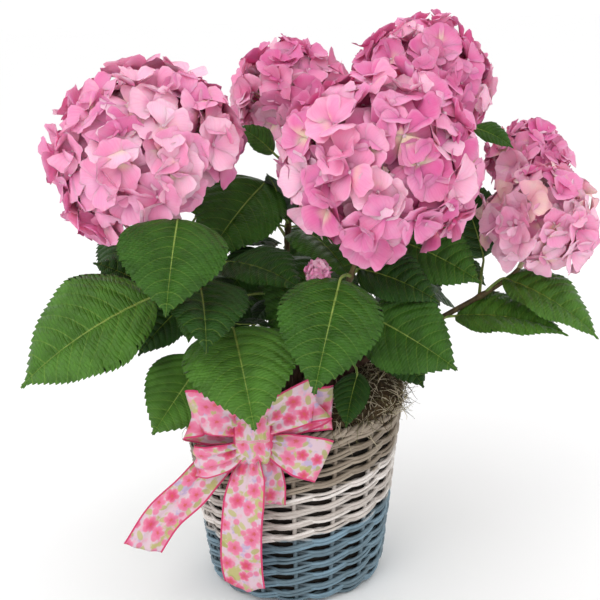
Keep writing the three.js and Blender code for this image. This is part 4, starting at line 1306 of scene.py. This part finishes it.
class MakePottingMix(bpy.types.Operator):
    """Fill the basket with potting mix and bark chips"""

    bl_idname = "hydrangea.potting_mix"
    bl_label = "Potting mix"

    def execute(self, context):
        turn = turns(72)
        rings = []
        for radius in np.linspace(1, MIX_RADIUS - 1.6, 30):
            bumps = [noise.noise(Vector((radius * math.cos(t) / 9, radius * math.sin(t) / 9, 4.0))) for t in turn]
            rings.append(wheel(radius, turn, MIX_TOP - 1.6 + 2.0 * np.array(bumps)))
        for radius, z in ((MIX_RADIUS - 1.4, 148), (73.5, 22), (60, 6.5), (1, 6.5)):
            rings.append(wheel(radius, turn, z))
        body = Patchwork()
        body.add(np.array(rings)[::-1], around=True, caps=True)
        soil = grain_material("moist_mix", "#1d130c", "#4a3423", (260.0, 260.0, 260.0), 0.95, 0.0014, 0.2)
        mesh = body.mesh("potting_mix")
        piece("potting_mix_fill", mesh, [soil], ["potting_mix"])
        top = mesh.copy()
        trimmed(top, [p.index for p in top.polygons if p.normal.z < 0.4])
        chips = []
        random = random_from(SEED + 50)
        for k in range(CHIPS["shapes"]):
            chip = Patchwork()
            wobble = np.array([[lerp(0.7, 1.2, random()) for _ in range(5)] for _ in range(3)])
            ring = np.array([[0.6], [1.0], [0.55]]) * wobble
            grid = wheel(ring, turns(5), np.array([[-0.5], [0.0], [0.7]])) * CHIPS["size"]
            chip.add(grid, around=True, caps=True)
            chips.append(chip.mesh(f"chip_{k}"))
        bark = grain_material("bark_chips", "#2a1a10", "#6b4a30", (500.0, 120.0, 500.0), 0.9, 0.0008, 0.2)
        scattered = grown("bark_chips", top, LIBRARY["scatter"], {
            "Shapes": shelf("chips", chips), "Density": CHIPS["density"], "Seed": 3, "Lean": 0.7,
            "Smallest": 0.5, "Largest": 1.35, "Material": bark})
        piece("bark_chips", scattered)
        return {"FINISHED"}


def trimmed(mesh, faces):
    """Drops faces of a mesh by number."""
    made = bmesh.new()
    made.from_mesh(mesh)
    made.faces.ensure_lookup_table()
    bmesh.ops.delete(made, geom=[made.faces[k] for k in faces], context="FACES")
    made.to_mesh(mesh)
    made.free()


def strand_line(rng):
    """One curling, sagging strand of moss."""
    heading = np.array([rng.normal(0, 1.0), rng.normal(0, 1.0), 0.55])
    curl = rng.normal(0, 0.5, 3)
    spots = [np.array([0, 0, -0.8])]
    for _ in range(STRAND_STEPS):
        heading = unit(heading + curl * 0.45 + rng.normal(0, 0.25, 3) + (0, 0, -0.2))
        spots.append(spots[-1] + heading * rng.uniform(1.8, 3.6))
    return spots


class MakeMoss(bpy.types.Operator):
    """Lay the moss bed over the rim and scatter curling strands on it"""

    bl_idname = "hydrangea.moss"
    bl_label = "Moss"

    def execute(self, context):
        settings = context.scene.hydrangea_moss
        bed = bmesh.new()
        bed.from_mesh(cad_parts["moss_ring"].data)
        bmesh.ops.remove_doubles(bed, verts=bed.verts, dist=1e-5)
        bmesh.ops.subdivide_edges(bed, edges=bed.edges, cuts=3, use_grid_fill=True)
        bed.normal_update()
        for vert in bed.verts:
            if vert.co.z > (MIX_TOP + 6) * MM:
                vert.co += vert.normal * noise.fractal(vert.co * 130, 1.0, 2.1, 3) * 0.0028
        bmesh.ops.recalc_face_normals(bed, faces=bed.faces)
        mesh = bpy.data.meshes.new("moss_bed")
        bed.to_mesh(mesh)
        bed.free()
        mesh.polygons.foreach_set("use_smooth", np.ones(len(mesh.polygons), bool))
        dry = grain_material("dry_moss", "#1d160f", settings.brown, (420.0, 420.0, 420.0), 0.95, 0.002, 0.15)
        top = mesh.copy()
        # No strands on the bed's underside in the basket, nor in front, where the bow lies.
        trimmed(top, [p.index for p in top.polygons
                      if (p.normal.z < 0.15 and math.hypot(p.center.x, p.center.y) < 0.092)
                      or (p.center.y < -0.07 and -0.06 < p.center.x < 0.034)])
        piece("moss_bed", mesh, [dry], ["moss_ring"])
        rng = np.random.default_rng(SEED + 5)
        for kind, (label, thick, lean, share) in enumerate(MOSS_KINDS):
            colour = getattr(settings, label)
            radius = np.linspace(thick, thick * 0.35, STRAND_STEPS + 1)
            strands = [rods(f"{label}_{k}", [(strand_line(rng), radius, 0.5, False)], 3) for k in range(8)]
            finish = grain_material(f"moss_{label}", [c * 0.55 for c in colour], colour, (60.0, 60.0, 60.0), 0.85,
                                    0.0002, 0.25)
            scattered = grown(f"moss_{label}", top.copy(), LIBRARY["scatter"], {
                "Shapes": shelf(f"{label}_strands", strands), "Density": settings.strands * share,
                "Seed": settings.seed + kind, "Lean": lean, "Smallest": 0.6, "Largest": 1.3, "Material": finish})
            piece(f"moss_{label}", scattered)
        return {"FINISHED"}


class MakeCanes(bpy.types.Operator):
    """Grow the woody canes with their bark"""

    bl_idname = "hydrangea.canes"
    bl_label = "Canes"

    def execute(self, context):
        bark = grain_material("cane_bark", "#33221c", "#74584a", (300.0, 300.0, 60.0), 0.85, 0.0008)
        body = Patchwork()
        turn = turns(16)
        for index, stem in enumerate(STEMS.values()):
            path, fork, _ = spine_of(stem)
            steps = round(path.total * fork / 1.8)
            shares = np.linspace(0, fork, steps)
            middle, tangent = path.at(shares), path.tangent(shares)
            side = unit(np.cross(tangent, (0.0, 1.0, 0.15)))
            other = np.cross(side, tangent)
            length = shares * path.total
            radius = lerp(CANE["foot"], CANE["tip"], shares / fork) + CANE["flare"] * np.exp(-length / 5)
            past = (length + index * 9) % CANE["joint"] - CANE["joint"] / 2
            joints = np.exp(-(past / 2.6) ** 2) * CANE["swell"]
            ridges = np.array([[noise.noise(Vector((math.cos(t) * 2.2, math.sin(t) * 2.2, s / 9 + index * 7)))
                                for t in turn] for s in length])
            ring = (radius + joints)[:, None] * (1 + 0.12 * ridges)
            grid = (middle[:, None] + side[:, None] * (ring * np.cos(turn))[..., None]
                    + other[:, None] * (ring * np.sin(turn))[..., None])
            body.add(grid[:, ::-1], around=True, caps=True)
        piece("canes", body, [bark], [f"cane_{name}" for name in STEMS])
        return {"FINISHED"}


class MakeLeaves(bpy.types.Operator):
    """Grow every leafy shoot, leaf stalk and toothed blade"""

    bl_idname = "hydrangea.leaves"
    bl_label = "Leaves and shoots"

    def execute(self, context):
        settings = context.scene.hydrangea_leaves
        veins = veins_group()
        greens = [leaf_material(f"leaf_{label}", getattr(settings, label), settings.vein, veins)
                  for label in ("deep", "middling", "fresh")]
        rng = np.random.default_rng(SEED + 9)
        stalks, shoots = [], []
        for index, (name, stem) in enumerate(STEMS.items()):
            blades = Patchwork()
            leaves = leaves_of(name, stem, index)
            for leaf in leaves:
                add_blade(blades, leaf, settings, rng.random())
                stalks.append(petiole_paths(leaf, rng))
            piece(f"leaf_blades_{name}", blades, greens, [f"leaves_{name}"])
            path, fork, head = spine_of(stem)
            shares = np.linspace(fork + GAP / path.total, head, 40)
            radius = np.linspace(CANE["tip"] * 0.8, SHOOT_TIP * 0.8, 40)
            for leaf in leaves:
                joint = lerp(fork, head, leaf["share"])
                radius = radius + 0.6 * np.exp(-((shares - joint) * path.total / 3.0) ** 2)
            shoots.append((path.at(shares), np.minimum(radius, 4.0), 0.2, False))
        twig = grain_material("young_bark", "#3d2f22", "#75663f", (300.0, 300.0, 60.0), 0.6, 0.0004)
        piece("leaf_stalks", rods("leaf_stalks", stalks, 8, LIBRARY["green"]))
        piece("leafy_shoots", rods("leafy_shoots", shoots, 8, twig))
        return {"FINISHED"}


class MakeBlooms(bpy.types.Operator):
    """Fill the flower domes with florets on their stalks, and the unopened head"""

    bl_idname = "hydrangea.blooms"
    bl_label = "Flower domes"

    def execute(self, context):
        settings = context.scene.hydrangea_blooms
        group = blush_group()
        labels = ("deep", "rose", "pink", "blush", "cream")
        sepals = [sepal_material(f"sepal_{label}", getattr(settings, label), group,
                                 settings.pink if label == "cream" else None) for label in labels]
        random = random_from(SEED + 77)
        florets = shelf("florets", [floret_mesh(f"floret_{k}", random, k / 9) for k in range(10)])
        tree = florets_tree(len(labels))
        values = {"Florets": florets, **{f"Material {k}": finish for k, finish in enumerate(sepals)}}
        rng = np.random.default_rng(SEED + 11)
        stalks = []
        for index, (name, stem) in enumerate(STEMS.items()):
            rows = florets_of(name, stem, index, settings)
            mesh = grown(f"florets_{name}", points_mesh(name, rows), tree, {**values, "Seed": index})
            piece(f"florets_{name}", mesh, replaces=[f"bloom_{name}"])
            stalks += flower_stalks(stem, rows, rng)
        centre = np.array(BUD["centre"], float)
        path, fork, head = spine_of(STEMS["front"])
        start = path.at(lerp(fork, head, BUD["at"]))
        buds = []
        for k in range(BUD["number"]):
            facing = direction(k * 137.5, math.degrees(math.asin(lerp(0.95, -0.8, (k + 0.5) / BUD["number"]))))
            spot = centre + facing * BUD["radius"] * 0.8
            buds.append((spot, Vector(facing), BUD["size"], random() * 3, 1 + k % 3))
            stalks.append((bent([centre - (0, 0, 5), centre, spot], 4), 0.45, 0.7, False))
        mesh = grown("unopened_head", points_mesh("buds", buds), tree, {**values, "Seed": 40})
        piece("unopened_head", mesh, replaces=["bud_cluster"])
        stalks.append((bent([start, lerp(start, centre, 0.5) - (0, 0, 4.0), centre], 12), 1.1, 0.8, False))
        piece("flower_stalks", rods("flower_stalks", stalks, 5, LIBRARY["pale"]))
        return {"FINISHED"}


class MakeBow(bpy.types.Operator):
    """Tie the printed ribbon into its bow"""

    bl_idname = "hydrangea.bow"
    bl_label = "Ribbon bow"

    def execute(self, context):
        settings = context.scene.hydrangea_ribbon
        ribbon = ribbon_material(settings)
        edges = []
        for k, (name, row) in enumerate(BOW.items()):
            strip = Patchwork()
            for line in ribbon_piece(strip, row, settings, k * 1.3, k * 61.0):
                edges.append((line, 0.42, 0.5, False))
            piece(f"ribbon_{name}", strip, [ribbon], [f"bow_{name}"])
        band = Patchwork()
        knot_piece(band, settings)
        piece("ribbon_knot", band, [ribbon], ["bow_knot"])
        edging = grain_material("wired_edge", [c * 0.85 for c in settings.edge], settings.edge,
                                (900.0, 900.0, 900.0), 0.5, 0.0001, 0.4)
        piece("ribbon_edges", rods("ribbon_edges", edges, 5, edging))
        return {"FINISHED"}


class MakeStage(bpy.types.Operator):
    """Set the floor, the light and the camera"""

    bl_idname = "hydrangea.stage"
    bl_label = "Stage"

    def execute(self, context):
        settings = context.scene.hydrangea_stage
        scene = context.scene
        bpy.ops.mesh.primitive_plane_add(size=FLOOR_SIZE)
        floor = context.object
        floor.name = "floor"
        finish, tree, shader = principled("pale_floor", 0.9, 0.1)
        dim = [c * 0.985 for c in settings.floor]
        coloured(shader, blend(speckle(object_place(tree), 3.0), dim, settings.floor))
        floor.data.materials.append(finish)
        floor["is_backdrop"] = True
        scene.view_settings.view_transform = "Standard"
        world = bpy.data.worlds.new("soft_white")
        world.use_nodes = True
        backdrop = world.node_tree.nodes["Background"]
        backdrop.inputs[0].default_value = (1, 1, 1, 1)
        backdrop.inputs[1].default_value = BACKDROP
        scene.world = world
        for name, place, size, power in LAMPS:
            lamp = bpy.data.lights.new(name, "AREA")
            lamp.size, lamp.energy = size, power
            light = bpy.data.objects.new(name, lamp)
            light.location = place
            light.rotation_euler = (Vector(LIT_POINT) - light.location).to_track_quat("-Z", "Y").to_euler()
            scene.collection.objects.link(light)
        camera = bpy.data.cameras.new("camera")
        camera.lens = settings.lens
        view = bpy.data.objects.new("camera", camera)
        pitch = math.radians(settings.pitch)
        ahead = Vector((0, math.cos(pitch), -math.sin(pitch)))
        turn = Matrix.Rotation(math.pi / 2 - pitch, 4, "X") @ Matrix.Rotation(math.radians(settings.roll), 4, "Z")
        view.matrix_world = Matrix.Translation(Vector(SEEN_POINT) - ahead * settings.distance) @ turn
        scene.collection.objects.link(view)
        scene.camera = view
        return {"FINISHED"}


# ---------------------------------------------------------------- add-on

OPERATORS = (MakeStage, MakeBasket, MakePottingMix, MakeMoss, MakeCanes, MakeLeaves, MakeBlooms, MakeBow)
SETTINGS = {
    "hydrangea_basket": BasketSettings,
    "hydrangea_leaves": LeafSettings,
    "hydrangea_blooms": BloomSettings,
    "hydrangea_moss": MossSettings,
    "hydrangea_ribbon": RibbonSettings,
    "hydrangea_stage": StageSettings,
}
LIBRARY = {}


class HydrangeaPanel(bpy.types.Panel):
    """Sizes, colours and pieces of the plant"""

    bl_idname = "VIEW3D_PT_hydrangea"
    bl_label = "Hydrangea"
    bl_space_type = "VIEW_3D"
    bl_region_type = "UI"
    bl_category = "Hydrangea"

    def draw(self, context):
        for name, group in SETTINGS.items():
            box = self.layout.box()
            box.label(text=group.__doc__)
            for prop in group.__annotations__:
                box.prop(getattr(context.scene, name), prop)
        for operator in OPERATORS:
            self.layout.operator(operator.bl_idname)


def register():
    for group in (*SETTINGS.values(), *OPERATORS, HydrangeaPanel):
        bpy.utils.register_class(group)
    for name, group in SETTINGS.items():
        setattr(bpy.types.Scene, name, PointerProperty(type=group))


def unregister():
    for name in SETTINGS:
        delattr(bpy.types.Scene, name)
    for group in (HydrangeaPanel, *reversed(OPERATORS), *SETTINGS.values()):
        bpy.utils.unregister_class(group)


def main():
    register()
    LIBRARY["grain"] = grain_group()
    LIBRARY["rods"] = rods_tree()
    LIBRARY["scatter"] = scatter_tree()
    for name, label, dark, light in (("green", "green_stems", "#5d7a2e", "#9aac58"),
                                     ("pale", "pale_stalks", "#a8ab72", "#d9c7ab")):
        LIBRARY[name] = grain_material(label, dark, light, (250.0, 250.0, 70.0), 0.5, 0.0003, 0.4)
    for operator in OPERATORS:
        group, name = operator.bl_idname.split(".")
        getattr(getattr(bpy.ops, group), name)()
    boxes = {"cad": CAD_BOX, "visual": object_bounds()}
    {name: [list(corner) for corner in box] for name, box in boxes.items()}


if __name__ == "__main__":
    main()
